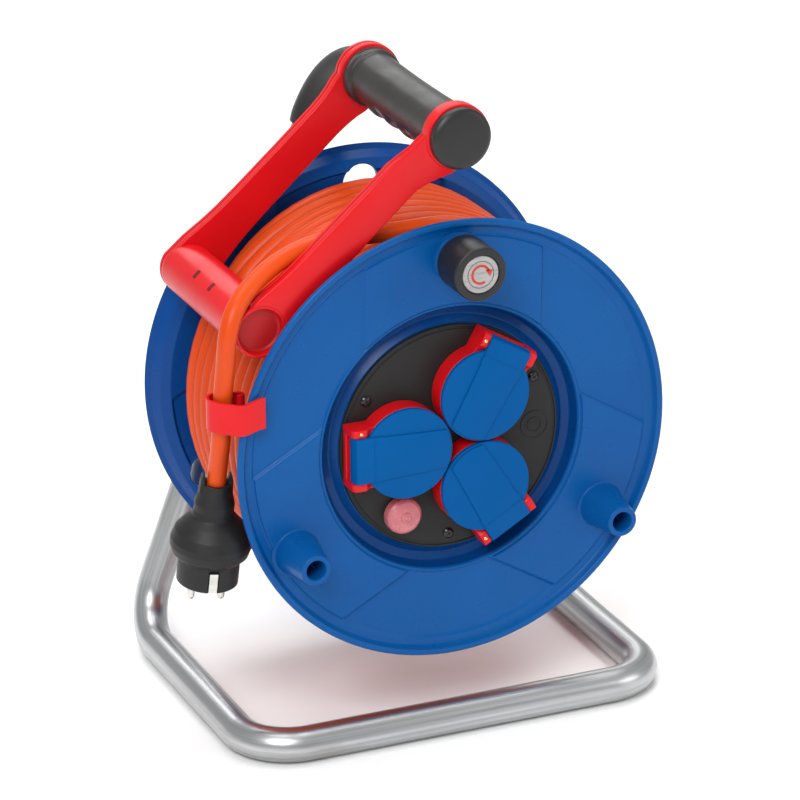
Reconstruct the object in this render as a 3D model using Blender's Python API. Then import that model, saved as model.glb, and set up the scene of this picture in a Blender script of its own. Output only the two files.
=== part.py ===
"""Extension cord reel: turning drum with three covered outlets on a bent steel tube frame."""
import math

import bmesh
import bpy
from mathutils import Matrix, Vector

MM = 0.001

# The model frame: the drum turns about the Y axis, the front rim of the drum lies in the
# plane y = 0, x is to the right and z is up.  All dimensions below are in millimetres.
AXLE_HEIGHT = 193.6
FRONT_RIM_Y = -88.0
GAP = 0.3

# Drum.
RIM_R = 145.0
DRUM_REAR_Y = 161.7
FACE_Y = 4.0
WALL = 2.5
STRIP_RISE = 2.4
STRIP_HALF = 59.5
STRIP_INNER_R = 88.9
STRIP_OUTER_R = 133.0
GROOVE_Y = 12.6
BARREL_R = 94.0
BARREL_WALL = 3.0
REAR_FACE_Y = 149.3
SPOKE_ANGLES = (89.0, 209.0, 329.0)
STUD_R = 120.0
STUD_TIP_Y = -29.9
STUD_BORE_R = 6.4
WINDOW_R = 12.4
WINDOW_RADIUS = 122.0

# Winding and lead.
CORD_R = 6.0
WINDING_R = 127.4
WINDING_Y = (10.5, 148.6)

# Axle.
AXLE_R = 8.0
BORE_R = AXLE_R + GAP
AXLE_FRONT_Y = 28.0

# Outlet panel.
PANEL_R = 73.8
PANEL_Y = 6.2
PANEL_T = 3.0
PANEL_SCREWS = ((65.0, 150.0), (65.0, 28.5), (65.0, 269.0))
OUTLET_ANGLES = (180.0, 60.0, -60.0)
OUTLET_RADIUS = 34.8
LID_R = 29.6
LID_FRONT_Y = -10.6
LID_T = 3.4
HINGE_RADIUS = 66.3
HINGE_Y = -4.6
HINGE_BARREL_R = 4.9
PIN_BORE_R = 1.5
SPRING_ROOM = 4.2
EAR_INNER = 15.2
EAR_OUTER = 20.2
RESET_RADIUS = 57.0
RESET_ANGLE = -125.5

# Crank knob.
KNOB_RADIUS = 119.5
KNOB_ANGLE = 88.4
KNOB_R = 17.2
KNOB_Y = (-34.0, -5.6)

# Frame.
TUBE_R = 11.2
TUBE_WALL = 1.5
BASE_HALF = 138.8
BASE_Z = -AXLE_HEIGHT + TUBE_R * math.cos(math.pi / 12)
BASE_FRONT_Y = -11.3
BASE_REAR_Y = 200.0
HANDLE_Z = 200.0
HANDLE_CORNER_Y = 187.0
TOP_BEND_R = 48.0
ELBOW_COVER_R = 13.8
BASE_BEND_R = 34.0
TUBE_SIDES = 12
FACET_TURN = 5.11
ARC_STEPS = 5
PLATE_Y = 178.5
PLATE_T = 3.0

# Handle and guide.
CAP_R = 19.3
JOURNAL_R = 14.4
SLEEVE_BORE_R = TUBE_R + GAP
EYE_R = 20.6
FRONT_EYE_Y = (-8.5, 0.0)
REAR_EYE_Y = (129.2, 137.7)
GUIDE_TUBE_X = -124.5
GUIDE_TUBE_Z = 88.5
GUIDE_TUBE_R = 16.8
GUIDE_ARM_Y = (5.4, 14.4)
GUIDE_STUB_R = 13.9
LATCH_Y = (61.0, 86.0)
LATCH_ANGLE = 131.0

# Plug: the point where its neck starts, the direction in which it hangs and its twist.
PLUG_NECK = Vector((-150.1, 22.0, -15.4))
PLUG_AXIS = Vector((-0.075, 0.10, -0.99)).normalized()
PLUG_TURN = -75.0
PLUG_FACE_R = 19.3
PLUG_FACE = 63.6
PIN_SPACING = 9.5
PIN_R = 2.4
PIN_TIP = 76.4

# Strap that ties the hanging cord to the front rim.
CLIP_Z = (28.5, 48.5)
CLIP_HALF = 0.9
CLIP_HOOK_CENTRE = (-148.8, 11.5)
CLIP_HOOK_R = 8.9

DRUM_PIVOT = (0.0, 0.0, 0.0)
GUIDE_PIVOT = (0.0, 0.0, HANDLE_Z)

for leftover in list(bpy.data.objects):
    bpy.data.objects.remove(leftover, do_unlink=True)


def make_material(name, colour, roughness, metallic=0.0):
    """Return a new Principled material."""
    material = bpy.data.materials.new(name)
    material.use_nodes = True
    shader = material.node_tree.nodes["Principled BSDF"]
    shader.inputs["Base Color"].default_value = (*colour, 1.0)
    shader.inputs["Roughness"].default_value = roughness
    shader.inputs["Metallic"].default_value = metallic
    return material


BLUE = make_material("blue_polypropylene", (0.012, 0.090, 0.400), 0.35)
LID_BLUE = make_material("lid_blue", (0.005, 0.110, 0.420), 0.45)
RED = make_material("red_plastic", (0.720, 0.020, 0.020), 0.40)
BLACK = make_material("black_plastic", (0.018, 0.018, 0.018), 0.50)
RUBBER = make_material("black_rubber", (0.030, 0.028, 0.026), 0.65)
ORANGE = make_material("orange_sheath", (0.860, 0.160, 0.020), 0.45)
STEEL = make_material("zinc_plated_steel", (0.560, 0.570, 0.580), 0.30, 1.0)
BRASS = make_material("brass", (0.720, 0.520, 0.200), 0.30, 1.0)
NICKEL = make_material("nickel_plate", (0.620, 0.600, 0.560), 0.25, 1.0)
LABEL = make_material("label_face", (0.700, 0.690, 0.680), 0.35)
PINK = make_material("soft_pink_cover", (0.600, 0.120, 0.140), 0.35)


def radial_point(radius, degrees):
    """Return the (x, z) pair at a radius and an angle about the drum axis."""
    angle = math.radians(degrees)
    return radius * math.cos(angle), radius * math.sin(angle)


def finish(bm, name, material, pivot=DRUM_PIVOT, sharp=30.0):
    """Turn a bmesh in model millimetres into an object whose origin is the pivot."""
    bmesh.ops.remove_doubles(bm, verts=bm.verts, dist=0.0005)
    bmesh.ops.recalc_face_normals(bm, faces=bm.faces)
    bm.transform(Matrix.Scale(MM, 4) @ Matrix.Translation(-Vector(pivot)))
    mesh = bpy.data.meshes.new(name)
    bm.to_mesh(mesh)
    bm.free()
    mesh.materials.append(material)
    mesh.shade_smooth()
    mesh.set_sharp_from_angle(angle=math.radians(sharp))
    part = bpy.data.objects.new(name, mesh)
    bpy.context.scene.collection.objects.link(part)
    part.location = (
        pivot[0] * MM,
        (pivot[1] + FRONT_RIM_Y) * MM,
        (pivot[2] + AXLE_HEIGHT) * MM,
    )
    return part


def skin_pair(bm, first, second):
    """Join two rows of vertices with faces; a row of one vertex is a pole."""
    count = max(len(first), len(second))
    if count == 1:
        return
    flat = abs(first[0].co.y - second[0].co.y) < 1e-6
    if flat and min(len(first), len(second)) == 1:
        bm.faces.new(first if len(first) > 1 else second)
        return
    for index in range(count):
        after = (index + 1) % count
        corners = [first[0]] if len(first) == 1 else [first[index], first[after]]
        corners += [second[0]] if len(second) == 1 else [second[after], second[index]]
        bm.faces.new(corners)


def skin_loops(bm, loops, closed_path):
    """Join a stack of rows with faces, and the last row to the first if wanted."""
    for first, second in zip(loops, loops[1:]):
        skin_pair(bm, first, second)
    if closed_path:
        skin_pair(bm, loops[-1], loops[0])


def turned_bmesh(profile, segments, centre=(0.0, 0.0)):
    """Revolve a closed (radius, y) profile about a line parallel to Y."""
    bm = bmesh.new()
    loops = []
    for radius, y in profile:
        if radius == 0.0:
            loops.append([bm.verts.new((centre[0], y, centre[1]))])
            continue
        ring = []
        for index in range(segments):
            angle = 2.0 * math.pi * index / segments
            x = centre[0] + radius * math.cos(angle)
            z = centre[1] + radius * math.sin(angle)
            ring.append(bm.verts.new((x, y, z)))
        loops.append(ring)
    skin_loops(bm, loops, closed_path=True)
    for vert in [v for v in bm.verts if not v.link_faces]:
        bm.verts.remove(vert)
    return bm


def turned(name, material, profile, segments=32, centre=(0.0, 0.0), pivot=DRUM_PIVOT):
    """Make a solid of revolution about a line parallel to Y."""
    return finish(turned_bmesh(profile, segments, centre), name, material, pivot)


def tube_profile(inner, outer, y0, y1, chamfer=0.0):
    """Profile of a plain sleeve, with the outer corners broken by the chamfer."""
    profile = [(inner, y0), (outer - chamfer, y0)]
    if chamfer > 0.0:
        profile.append((outer, y0 + chamfer))
        profile.append((outer, y1 - chamfer))
    profile.append((outer - chamfer, y1))
    if chamfer == 0.0:
        profile = [(inner, y0), (outer, y0), (outer, y1)]
    profile.append((inner, y1))
    return profile


def rod_profile(radius, y0, y1, chamfer=0.4):
    """Profile of a plain pin with broken corners."""
    return [
        (0.0, y0),
        (radius - chamfer, y0),
        (radius, y0 + chamfer),
        (radius, y1 - chamfer),
        (radius - chamfer, y1),
        (0.0, y1),
    ]


def prism_bmesh(outline, low, high, place):
    """Extrude a closed outline; place(a, b, depth) gives the model point."""
    bm = bmesh.new()
    rows = []
    for depth in (low, high):
        rows.append([bm.verts.new(place(a, b, depth)) for a, b in outline])
    skin_loops(bm, rows, closed_path=False)
    bm.faces.new(rows[0])
    bm.faces.new(rows[1])
    return bm


def along_y(a, b, depth):
    """Place an outline drawn in x and z, extruded along y."""
    return a, depth, b


def slab(name, material, outline, y0, y1, pivot=DRUM_PIVOT):
    """Make a plate from an outline in x and z between two y planes."""
    return finish(prism_bmesh(outline, y0, y1, along_y), name, material, pivot)


def band_outline(points, half):
    """Closed outline of a strip of even thickness that follows a polyline."""
    left = []
    right = []
    for index, point in enumerate(points):
        before = points[max(index - 1, 0)]
        after = points[min(index + 1, len(points) - 1)]
        ahead = (Vector(after) - Vector(before)).normalized()
        side = Vector((-ahead.y, ahead.x)) * half
        left.append((point[0] + side.x, point[1] + side.y))
        right.append((point[0] - side.x, point[1] - side.y))
    return left + right[::-1]


def along_z(a, b, depth):
    """Place an outline drawn in x and y, extruded along z."""
    return a, b, depth


def spin(point, degrees):
    """Turn a model point about the drum axis."""
    angle = math.radians(degrees)
    x, y, z = point
    return (
        x * math.cos(angle) - z * math.sin(angle),
        y,
        x * math.sin(angle) + z * math.cos(angle),
    )


def spin_bmesh(bm, degrees):
    """Turn every vertex of a bmesh about the drum axis."""
    for vert in bm.verts:
        vert.co = spin(vert.co, degrees)
    return bm


def arc_points(centre, radius, start, end, count):
    """Points on an arc in the x-z plane, both ends included."""
    points = []
    for index in range(count):
        angle = math.radians(start + (end - start) * index / (count - 1))
        x = centre[0] + radius * math.cos(angle)
        z = centre[1] + radius * math.sin(angle)
        points.append((x, z))
    return points


def combine(target, tool, operation):
    """Add a Boolean with a hidden tool object."""
    modifier = target.modifiers.new(tool.name, "BOOLEAN")
    modifier.operation = operation
    modifier.solver = "EXACT"
    modifier.object = tool
    tool.hide_render = True
    tool.display_type = "WIRE"


def add(target, tool):
    """Weld the tool shape to the target."""
    combine(target, tool, "UNION")


def cut(target, tool):
    """Remove the tool shape from the target."""
    combine(target, tool, "DIFFERENCE")


def rounded_path(corners, radii, arc_steps):
    """Replace the inner corners of a polyline by arcs of the given radii."""
    points = [Vector(corners[0])]
    for index, radius in enumerate(radii):
        before, corner, after = (Vector(c) for c in corners[index:index + 3])
        incoming = (corner - before).normalized()
        outgoing = (after - corner).normalized()
        turn = incoming.angle(outgoing)
        setback = radius * math.tan(turn / 2.0)
        start = corner - incoming * setback
        inward = (outgoing - incoming * incoming.dot(outgoing)).normalized()
        for step in range(arc_steps + 1):
            angle = turn * step / arc_steps
            offset = incoming * math.sin(angle) + inward * (1.0 - math.cos(angle))
            points.append(start + offset * radius)
    points.append(Vector(corners[-1]))
    return points


def path_frames(points, hint):
    """Give each path point two unit vectors square to the path, carried without twist."""
    frames = []
    last = (points[1] - points[0]).normalized()
    side = Vector(hint)
    side = (side - last * side.dot(last)).normalized()
    for index, point in enumerate(points):
        before = points[max(index - 1, 0)]
        after = points[min(index + 1, len(points) - 1)]
        ahead = (after - before).normalized()
        side = last.rotation_difference(ahead) @ side
        last = ahead
        frames.append((point, side.copy(), ahead.cross(side)))
    return frames


def sweep_ring(bm, frame, radius, sides):
    """Add one ring of vertices about a path point."""
    point, side, up = frame
    ring = []
    for index in range(sides):
        angle = 2.0 * math.pi * index / sides
        offset = side * math.cos(angle) + up * math.sin(angle)
        ring.append(bm.verts.new(point + offset * radius))
    return ring


def swept_tube(name, material, points, outer, inner, sides, pivot=DRUM_PIVOT, hint=(1, 0, 0)):
    """Make a hollow round tube that follows the points."""
    bm = bmesh.new()
    frames = path_frames(points, hint)
    loops = [sweep_ring(bm, frame, outer, sides) for frame in frames]
    loops += [sweep_ring(bm, frame, inner, sides) for frame in reversed(frames)]
    skin_loops(bm, loops, closed_path=True)
    return finish(bm, name, material, pivot, sharp=50.0)


def make_frame():
    """Bent tube, bearer plate, axle and the small parts fixed to them."""
    leg_top = Vector((0.0, HANDLE_CORNER_Y, HANDLE_Z))
    left_rear = Vector((-BASE_HALF, BASE_REAR_Y, BASE_Z))
    right_rear = Vector((BASE_HALF, BASE_REAR_Y, BASE_Z))
    end_z = 34.0
    share = (end_z - BASE_Z) / (HANDLE_Z - BASE_Z)
    right_end = right_rear.lerp(leg_top, share)
    corners = [
        (0.0, -7.0, HANDLE_Z),
        leg_top,
        left_rear,
        (-BASE_HALF, BASE_FRONT_Y, BASE_Z),
        (BASE_HALF, BASE_FRONT_Y, BASE_Z),
        right_rear,
        right_end,
    ]
    radii = [TOP_BEND_R] + [BASE_BEND_R] * 4
    path = rounded_path(corners, radii, ARC_STEPS)
    facet_turn = math.radians(FACET_TURN)
    hint = (math.cos(facet_turn), 0.0, math.sin(facet_turn))
    swept_tube("tube_frame", STEEL, path, TUBE_R, TUBE_R - TUBE_WALL, TUBE_SIDES, DRUM_PIVOT, hint)

    cover_reach = 52.0
    leg_point = leg_top + (left_rear - leg_top).normalized() * cover_reach
    cover_corners = [(0.0, REAR_EYE_Y[1] + 0.6, HANDLE_Z), leg_top, leg_point]
    cover_path = rounded_path(cover_corners, [TOP_BEND_R], ARC_STEPS)
    swept_tube("elbow_cover", BLACK, cover_path, ELBOW_COVER_R, TUBE_R + 2 * GAP, 16)

    stopper = turned_bmesh(
        [(0.0, -14.0), (8.4, -14.0), (8.9, -13.0), (8.9, GAP), (TUBE_R, GAP),
         (TUBE_R, 2.2), (TUBE_R - 1.0, 3.2), (0.0, 3.6)], 20)
    ahead = (leg_top - right_rear).normalized()
    turn = Vector((0.0, 1.0, 0.0)).rotation_difference(ahead).to_matrix().to_4x4()
    stopper.transform(Matrix.Translation(right_end) @ turn)
    finish(stopper, "leg_stopper", BLACK)

    plate_end_x = 96.0
    plate_half_z = 22.0
    plate_round = 14.0
    outline = []
    for sx, sz, start in ((1, -1, -90), (1, 1, 0), (-1, 1, 90), (-1, -1, 180)):
        corner = (sx * (plate_end_x - plate_round), sz * (plate_half_z - plate_round))
        outline += arc_points(corner, plate_round, start, start + 90, 5)
    plate = slab("bearer_plate", STEEL, outline, PLATE_Y, PLATE_Y + PLATE_T)
    plate_reach = (PLATE_Y - 5.0, PLATE_Y + PLATE_T + 5.0)
    cut(plate, turned("plate_axle_hole", STEEL, rod_profile(BORE_R, *plate_reach, 0.1), 24))
    leg_x = BASE_HALF * (HANDLE_Z / (HANDLE_Z - BASE_Z))
    for side, x in (("left", -leg_x), ("right", leg_x)):
        hole = turned(f"plate_hole_{side}", STEEL, rod_profile(4.3, *plate_reach, 0.1), 16, (x, 0.0))
        cut(plate, hole)
        head = [(0.0, PLATE_Y - 3.4), (4.5, PLATE_Y - 3.2), (7.0, PLATE_Y - 1.4), (7.0, PLATE_Y - GAP),
                (4.0, PLATE_Y - GAP), (4.0, PLATE_Y + PLATE_T), (0.0, PLATE_Y + PLATE_T)]
        turned(f"plate_rivet_{side}", STEEL, head, 16, (x, 0.0))

    shoulder_r = 14.0
    groove_r = 6.6
    axle = [
        (0.0, AXLE_FRONT_Y), (AXLE_R - 0.8, AXLE_FRONT_Y), (AXLE_R, AXLE_FRONT_Y + 0.8),
        (AXLE_R, 30.2), (groove_r, 30.2), (groove_r, 32.0), (AXLE_R, 32.0),
        (AXLE_R, PLATE_Y - 3.0), (shoulder_r, PLATE_Y - 3.0), (shoulder_r, PLATE_Y - GAP),
        (AXLE_R, PLATE_Y - GAP), (AXLE_R, 193.0), (AXLE_R - 0.8, 194.0), (0.0, 194.0),
    ]
    turned("axle", STEEL, axle, 18)
    turned("axle_clip", STEEL, tube_profile(groove_r + GAP, 12.0, 30.5, 31.7), 18)
    turned("front_washer", STEEL, tube_profile(BORE_R, 15.0, 32.3, 33.8), 18)
    nut_outline = arc_points((0.0, 0.0), 14.0, 0.0, 300.0, 6)
    nut = slab("axle_nut", STEEL, nut_outline, PLATE_Y + PLATE_T + GAP, 191.5)
    cut(nut, turned("nut_bore", STEEL, rod_profile(BORE_R, 178.0, 196.0, 0.1), 24))


def grip_radius(y, angle):
    """Outer radius of the handle grip, with finger lobes on the underside."""
    waist = 17.0 - 0.9 * math.sin(math.pi * (y - 1.0) / 122.0)
    lobes = 0.5 - 0.5 * math.cos(2.0 * math.pi * (y - 14.0) / 24.0)
    if y < 14.0 or y > 110.0:
        lobes = 0.0
    under = max(0.0, -math.sin(angle)) ** 2
    return waist + 3.0 * lobes * under


def make_handle():
    """Grip sleeve with rear journal, and the end cap with the front journal."""
    sides = 18
    bm = bmesh.new()
    body_y = [1.0, 1.8] + [8.0 + 6.0 * index for index in range(19)]
    loops = []
    for y in body_y:
        shrink = 1.0 if y == 1.0 else 0.0
        ring = []
        for index in range(sides):
            angle = 2.0 * math.pi * index / sides
            radius = grip_radius(y, angle) - shrink
            ring.append((radius * math.cos(angle), y, HANDLE_Z + radius * math.sin(angle)))
        loops.append(ring)
    collar = (
        (18.4, 122.6), (18.9, 124.0), (18.9, 127.4), (18.3, REAR_EYE_Y[0] - GAP),
        (JOURNAL_R, REAR_EYE_Y[0] - GAP), (JOURNAL_R, REAR_EYE_Y[1] + GAP),
        (SLEEVE_BORE_R, REAR_EYE_Y[1] + GAP), (SLEEVE_BORE_R, 1.0),
    )
    for radius, y in collar:
        ring = []
        for index in range(sides):
            angle = 2.0 * math.pi * index / sides
            ring.append((radius * math.cos(angle), y, HANDLE_Z + radius * math.sin(angle)))
        loops.append(ring)
    rows = [[bm.verts.new(point) for point in ring] for ring in loops]
    skin_loops(bm, rows, closed_path=True)
    finish(bm, "handle_grip", RUBBER, sharp=40.0)

    cap = [
        (0.0, -16.3), (8.0, -16.1), (14.0, -15.5), (17.8, -14.3), (CAP_R, -12.4), (CAP_R, -9.6),
        (CAP_R - 0.6, FRONT_EYE_Y[0] - GAP), (JOURNAL_R, FRONT_EYE_Y[0] - GAP),
        (JOURNAL_R, 0.7), (SLEEVE_BORE_R, 0.7), (SLEEVE_BORE_R, -8.0), (0.0, -8.0),
    ]
    turned("handle_end_cap", BLACK, cap, 20, (0.0, HANDLE_Z))


def arm_outline(eye_r, tube_r, near_half, far_half):
    """Outline in x and z of a guide arm between the handle and the cross tube."""
    start = Vector((0.0, HANDLE_Z))
    end = Vector((GUIDE_TUBE_X, GUIDE_TUBE_Z))
    ahead = (end - start).normalized()
    side = Vector((-ahead.y, ahead.x))
    heading = math.degrees(math.atan2(ahead.y, ahead.x))
    length = (end - start).length
    outline = arc_points(start, eye_r, heading + 52.0, heading + 308.0, 19)
    for along, half in ((30.0, near_half + 1.6), (42.0, near_half), (length - 26.0, far_half)):
        outline.append(tuple(start + ahead * along - side * half))
    outline += arc_points(end, tube_r, heading - 76.0, heading + 76.0, 12)
    for along, half in ((length - 26.0, far_half), (42.0, near_half), (30.0, near_half + 1.6)):
        outline.append(tuple(start + ahead * along + side * half))
    return outline


def make_guide():
    """Cord guide: rear half with the cross tube, front half with the plug-in stub."""
    centre = (GUIDE_TUBE_X, GUIDE_TUBE_Z)
    top = (0.0, HANDLE_Z)
    arm_low, arm_high = GUIDE_ARM_Y

    rear = slab("guide_rear", RED, arm_outline(EYE_R, GUIDE_TUBE_R, 12.0, 13.5),
                128.6, REAR_EYE_Y[1], GUIDE_PIVOT)
    tube = [
        (GUIDE_TUBE_R - 2.2, arm_high + GAP), (GUIDE_TUBE_R - 0.4, arm_high + GAP),
        (GUIDE_TUBE_R, arm_high + 0.7), (GUIDE_TUBE_R, 132.5), (GUIDE_TUBE_R - 1.2, 136.4),
        (GUIDE_TUBE_R - 3.8, 138.6), (0.0, 139.4), (0.0, 128.0), (GUIDE_TUBE_R - 2.2, 124.0),
    ]
    add(rear, turned("rear_cross_tube", RED, tube, 24, centre, GUIDE_PIVOT))
    eye_bore = rod_profile(JOURNAL_R + GAP, 120.0, 145.0, 0.1)
    cut(rear, turned("rear_eye_bore", RED, eye_bore, 24, top, GUIDE_PIVOT))
    cut(rear, turned("rear_eye_front", RED, tube_profile(10.0, 26.0, 125.0, REAR_EYE_Y[0]), 24,
                     top, GUIDE_PIVOT))
    for number, y in enumerate(LATCH_Y):
        slot = prism_bmesh(
            [(-3.4, -1.4), (3.4, -1.4), (3.4, 1.4), (-3.4, 1.4)], 9.0, 24.0,
            lambda a, b, depth, y=y: (depth, y + b, a))
        spun = spin_bmesh(slot, LATCH_ANGLE)
        spun.transform(Matrix.Translation((centre[0], 0.0, centre[1])))
        cut(rear, finish(spun, f"latch_window_{number}", RED, GUIDE_PIVOT))

    front = slab("guide_front", RED, arm_outline(EYE_R - 2.6, GUIDE_TUBE_R, 12.0, 13.5),
                 arm_low, arm_high, GUIDE_PIVOT)
    eye = tube_profile(9.0, EYE_R, FRONT_EYE_Y[0], FRONT_EYE_Y[1], 0.6)
    add(front, turned("front_eye", RED, eye, 28, top, GUIDE_PIVOT))
    start = Vector(top)
    ahead = (Vector(centre) - start).normalized()
    side = Vector((-ahead.y, ahead.x))

    def neck_place(a, b, depth):
        flat = start + ahead * a + side * depth
        return flat.x, b, flat.y

    neck = prism_bmesh(
        [(13.0, -8.0), (21.0, -6.5), (38.0, arm_low), (48.0, arm_low + 4.0), (30.0, arm_high),
         (17.5, arm_low + 4.0), (15.0, -0.6)],
        -12.6, 12.6, neck_place)
    add(front, finish(neck, "front_neck", RED, GUIDE_PIVOT))
    stub = [(0.0, 8.0), (GUIDE_STUB_R, 8.0), (GUIDE_STUB_R, 95.0), (GUIDE_STUB_R - 1.5, 97.0),
            (GUIDE_STUB_R - 3.0, 97.0), (GUIDE_STUB_R - 3.0, 20.0), (0.0, 20.0)]
    add(front, turned("front_stub", RED, stub, 20, centre, GUIDE_PIVOT))
    recess = rod_profile(GUIDE_TUBE_R - 1.9, -5.0, 11.4, 0.1)
    cut(front, turned("front_recess", RED, recess, 24, centre, GUIDE_PIVOT))
    bore = rod_profile(JOURNAL_R + GAP, -20.0, 1.2, 0.1)
    cut(front, turned("front_eye_bore", RED, bore, 24, top, GUIDE_PIVOT))
    clearance = rod_profile(EYE_R + 0.4, 0.6, 30.0, 0.1)
    cut(front, turned("grip_clearance", RED, clearance, 28, top, GUIDE_PIVOT))


def strip_outline(degrees, grow=0.0):
    """Outline of the raised band of a flange that runs out to one stud."""
    outer = STRIP_OUTER_R + grow
    inner = STRIP_INNER_R
    half = STRIP_HALF + grow
    outer_turn = math.degrees(math.asin(half / outer))
    inner_turn = math.degrees(math.asin(half / inner))
    outline = arc_points((0.0, 0.0), outer, degrees - outer_turn, degrees + outer_turn, 7)
    outline += arc_points((0.0, 0.0), inner, degrees + inner_turn, degrees - inner_turn, 7)
    return outline


def make_front_flange():
    """Front drum side with rim, raised bands, two studs and the recess for the outlets."""
    back = FACE_Y + WALL
    groove_back = GROOVE_Y + WALL
    seat = PANEL_Y + PANEL_T + GAP
    profile = [
        (74.5, 8.8), (79.6, GROOVE_Y), (84.2, GROOVE_Y - 1.4), (86.8, 4.0), (88.0, 2.6), (88.9, FACE_Y),
        (132.0, FACE_Y), (136.2, 1.0), (139.2, 0.2), (140.2, -2.0), (143.6, -2.2), (RIM_R, 0.2),
        (140.6, 1.8), (132.6, back), (89.6, back), (87.2, groove_back), (77.0, groove_back),
        (77.0, 24.0), (66.0, 24.0), (66.0, seat), (74.5, seat),
    ]
    flange = turned("front_flange", BLUE, profile, 40)
    for degrees in SPOKE_ANGLES:
        outline = strip_outline(degrees)
        add(flange, slab(f"front_band_{int(degrees)}", BLUE, outline, FACE_Y - STRIP_RISE, FACE_Y + 1.0))
    for degrees in SPOKE_ANGLES[1:]:
        centre = radial_point(STUD_R, degrees)
        face = FACE_Y - STRIP_RISE
        stud = [
            (0.0, back - 0.4), (16.0, back - 0.4), (16.0, face + 0.4), (14.4, face - 1.2),
            (9.9, STUD_TIP_Y + 1.2), (9.2, STUD_TIP_Y), (7.0, STUD_TIP_Y),
            (STUD_BORE_R, STUD_TIP_Y + 0.8), (STUD_BORE_R - 0.6, -4.0), (0.0, -4.0),
        ]
        tag = int(degrees)
        add(flange, turned(f"stud_{tag}", BLUE, stud, 20, centre))
        cut(flange, turned(f"stud_hole_{tag}", BLUE, rod_profile(2.2, -8.0, 12.0, 0.1), 12, centre))
    knob_centre = radial_point(KNOB_RADIUS, KNOB_ANGLE)
    boss_tip = KNOB_Y[1] + 0.5
    boss = [(0.0, 5.0), (15.0, 5.0), (15.0, 1.6), (13.4, 0.4), (13.0, boss_tip), (0.0, boss_tip)]
    add(flange, turned("knob_boss", BLUE, boss, 20, knob_centre))
    cut(flange, turned("knob_pin_hole", BLUE, rod_profile(4.3, -12.0, 12.0, 0.1), 14, knob_centre))
    for number, (radius, degrees) in enumerate(PANEL_SCREWS):
        centre = radial_point(radius, degrees)
        boss = rod_profile(4.4, seat, 23.0, 0.1)
        add(flange, turned(f"screw_boss_{number}", BLUE, boss, 16, centre))
        hole = rod_profile(1.9, 2.0, 21.0, 0.1)
        cut(flange, turned(f"screw_pilot_{number}", BLUE, hole, 12, centre))

    for side, degrees in zip(("left", "right"), SPOKE_ANGLES[1:]):
        centre = radial_point(STUD_R, degrees)
        screw = [(0.0, -6.6), (1.2, -6.6), (2.0, -7.4), (4.0, -6.9), (4.4, -5.6), (4.4, -4.0 - GAP),
                 (1.9, -4.0 - GAP), (1.9, 9.0), (0.0, 9.8)]
        turned(f"stud_screw_{side}", STEEL, screw, 16, centre)
    return flange


def make_rear_flange():
    """Rear drum side with rolled rim, sunk bands and three round windows."""
    back = REAR_FACE_Y + WALL
    profile = [
        (24.6, REAR_FACE_Y), (131.0, REAR_FACE_Y), (138.2, 153.6), (141.6, 159.4), (RIM_R, DRUM_REAR_Y),
        (142.4, 162.6), (138.6, 160.2), (135.2, 155.2), (129.4, back), (30.0, back), (30.0, 160.0),
        (24.6, 160.0),
    ]
    flange = turned("rear_flange", BLUE, profile, 40)
    for degrees in SPOKE_ANGLES:
        band = strip_outline(degrees, -0.6)
        add(flange, slab(f"rear_band_{int(degrees)}", BLUE, band, back - 0.8, back + STRIP_RISE - 0.2))
        dent = strip_outline(degrees, -3.0)
        cut(flange, slab(f"rear_dent_{int(degrees)}", BLUE, dent, REAR_FACE_Y - 5.0, REAR_FACE_Y + 1.9))
        centre = radial_point(WINDOW_RADIUS, degrees)
        window = rod_profile(WINDOW_R, 140.0, 165.0, 0.1)
        cut(flange, turned(f"window_{int(degrees)}", BLUE, window, 20, centre))


def make_drum_core():
    """Barrel, inner web and the two bushes that turn on the axle."""
    inner = BARREL_R - BARREL_WALL
    sleeve = tube_profile(inner, BARREL_R, FACE_Y + WALL + GAP, REAR_FACE_Y - GAP)
    barrel = turned("drum_barrel", BLUE, sleeve, 40)
    hole_centre = radial_point(BARREL_R, 40.0)
    hole = rod_profile(CORD_R + 0.8, 20.0, 34.0, 0.1)
    entry = turned_bmesh(hole, 16)
    entry.transform(Matrix.Translation((0.0, -27.0, 0.0)))
    entry.transform(Matrix.Rotation(math.radians(90.0), 4, "X"))
    entry.transform(Matrix.Translation((hole_centre[0], 27.0, hole_centre[1])))
    cut(barrel, finish(entry, "cord_entry", BLUE))
    web = [(14.6, 36.0), (20.0, 36.0), (20.0, 40.0), (inner - GAP, 40.0), (inner - GAP, 43.0),
           (20.0, 43.0), (20.0, 52.0), (14.6, 52.0)]
    turned("inner_web", BLUE, web, 28)
    bush = [(BORE_R, 34.1), (18.0, 34.1), (18.0, 36.0 - GAP), (14.3, 36.0 - GAP), (14.3, 52.0),
            (BORE_R, 52.0)]
    turned("front_bush", BLACK, bush, 16)
    bush = [(BORE_R, 140.0), (18.0, 140.0), (24.3, 146.0), (24.3, 160.0 + GAP), (29.0, 160.0 + GAP),
            (29.0, 163.0), (18.0, 168.0), (16.0, 175.1), (BORE_R, 175.1)]
    turned("rear_bush", BLACK, bush, 20)


def make_winding():
    """Wound cord as one ring, and the sleeve that grips the cord end at the core."""
    low, high = WINDING_Y
    soft = 3.0
    profile = [(BARREL_R + GAP, low), (WINDING_R - soft, low), (WINDING_R, low + soft),
               (WINDING_R, high - soft), (WINDING_R - soft, high), (BARREL_R + GAP, high)]
    turned("cord_winding", ORANGE, profile, 40)


def round_outline(centre, radius, count):
    """Closed circle outline."""
    return arc_points(centre, radius, 0.0, 360.0 - 360.0 / count, count)


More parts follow.
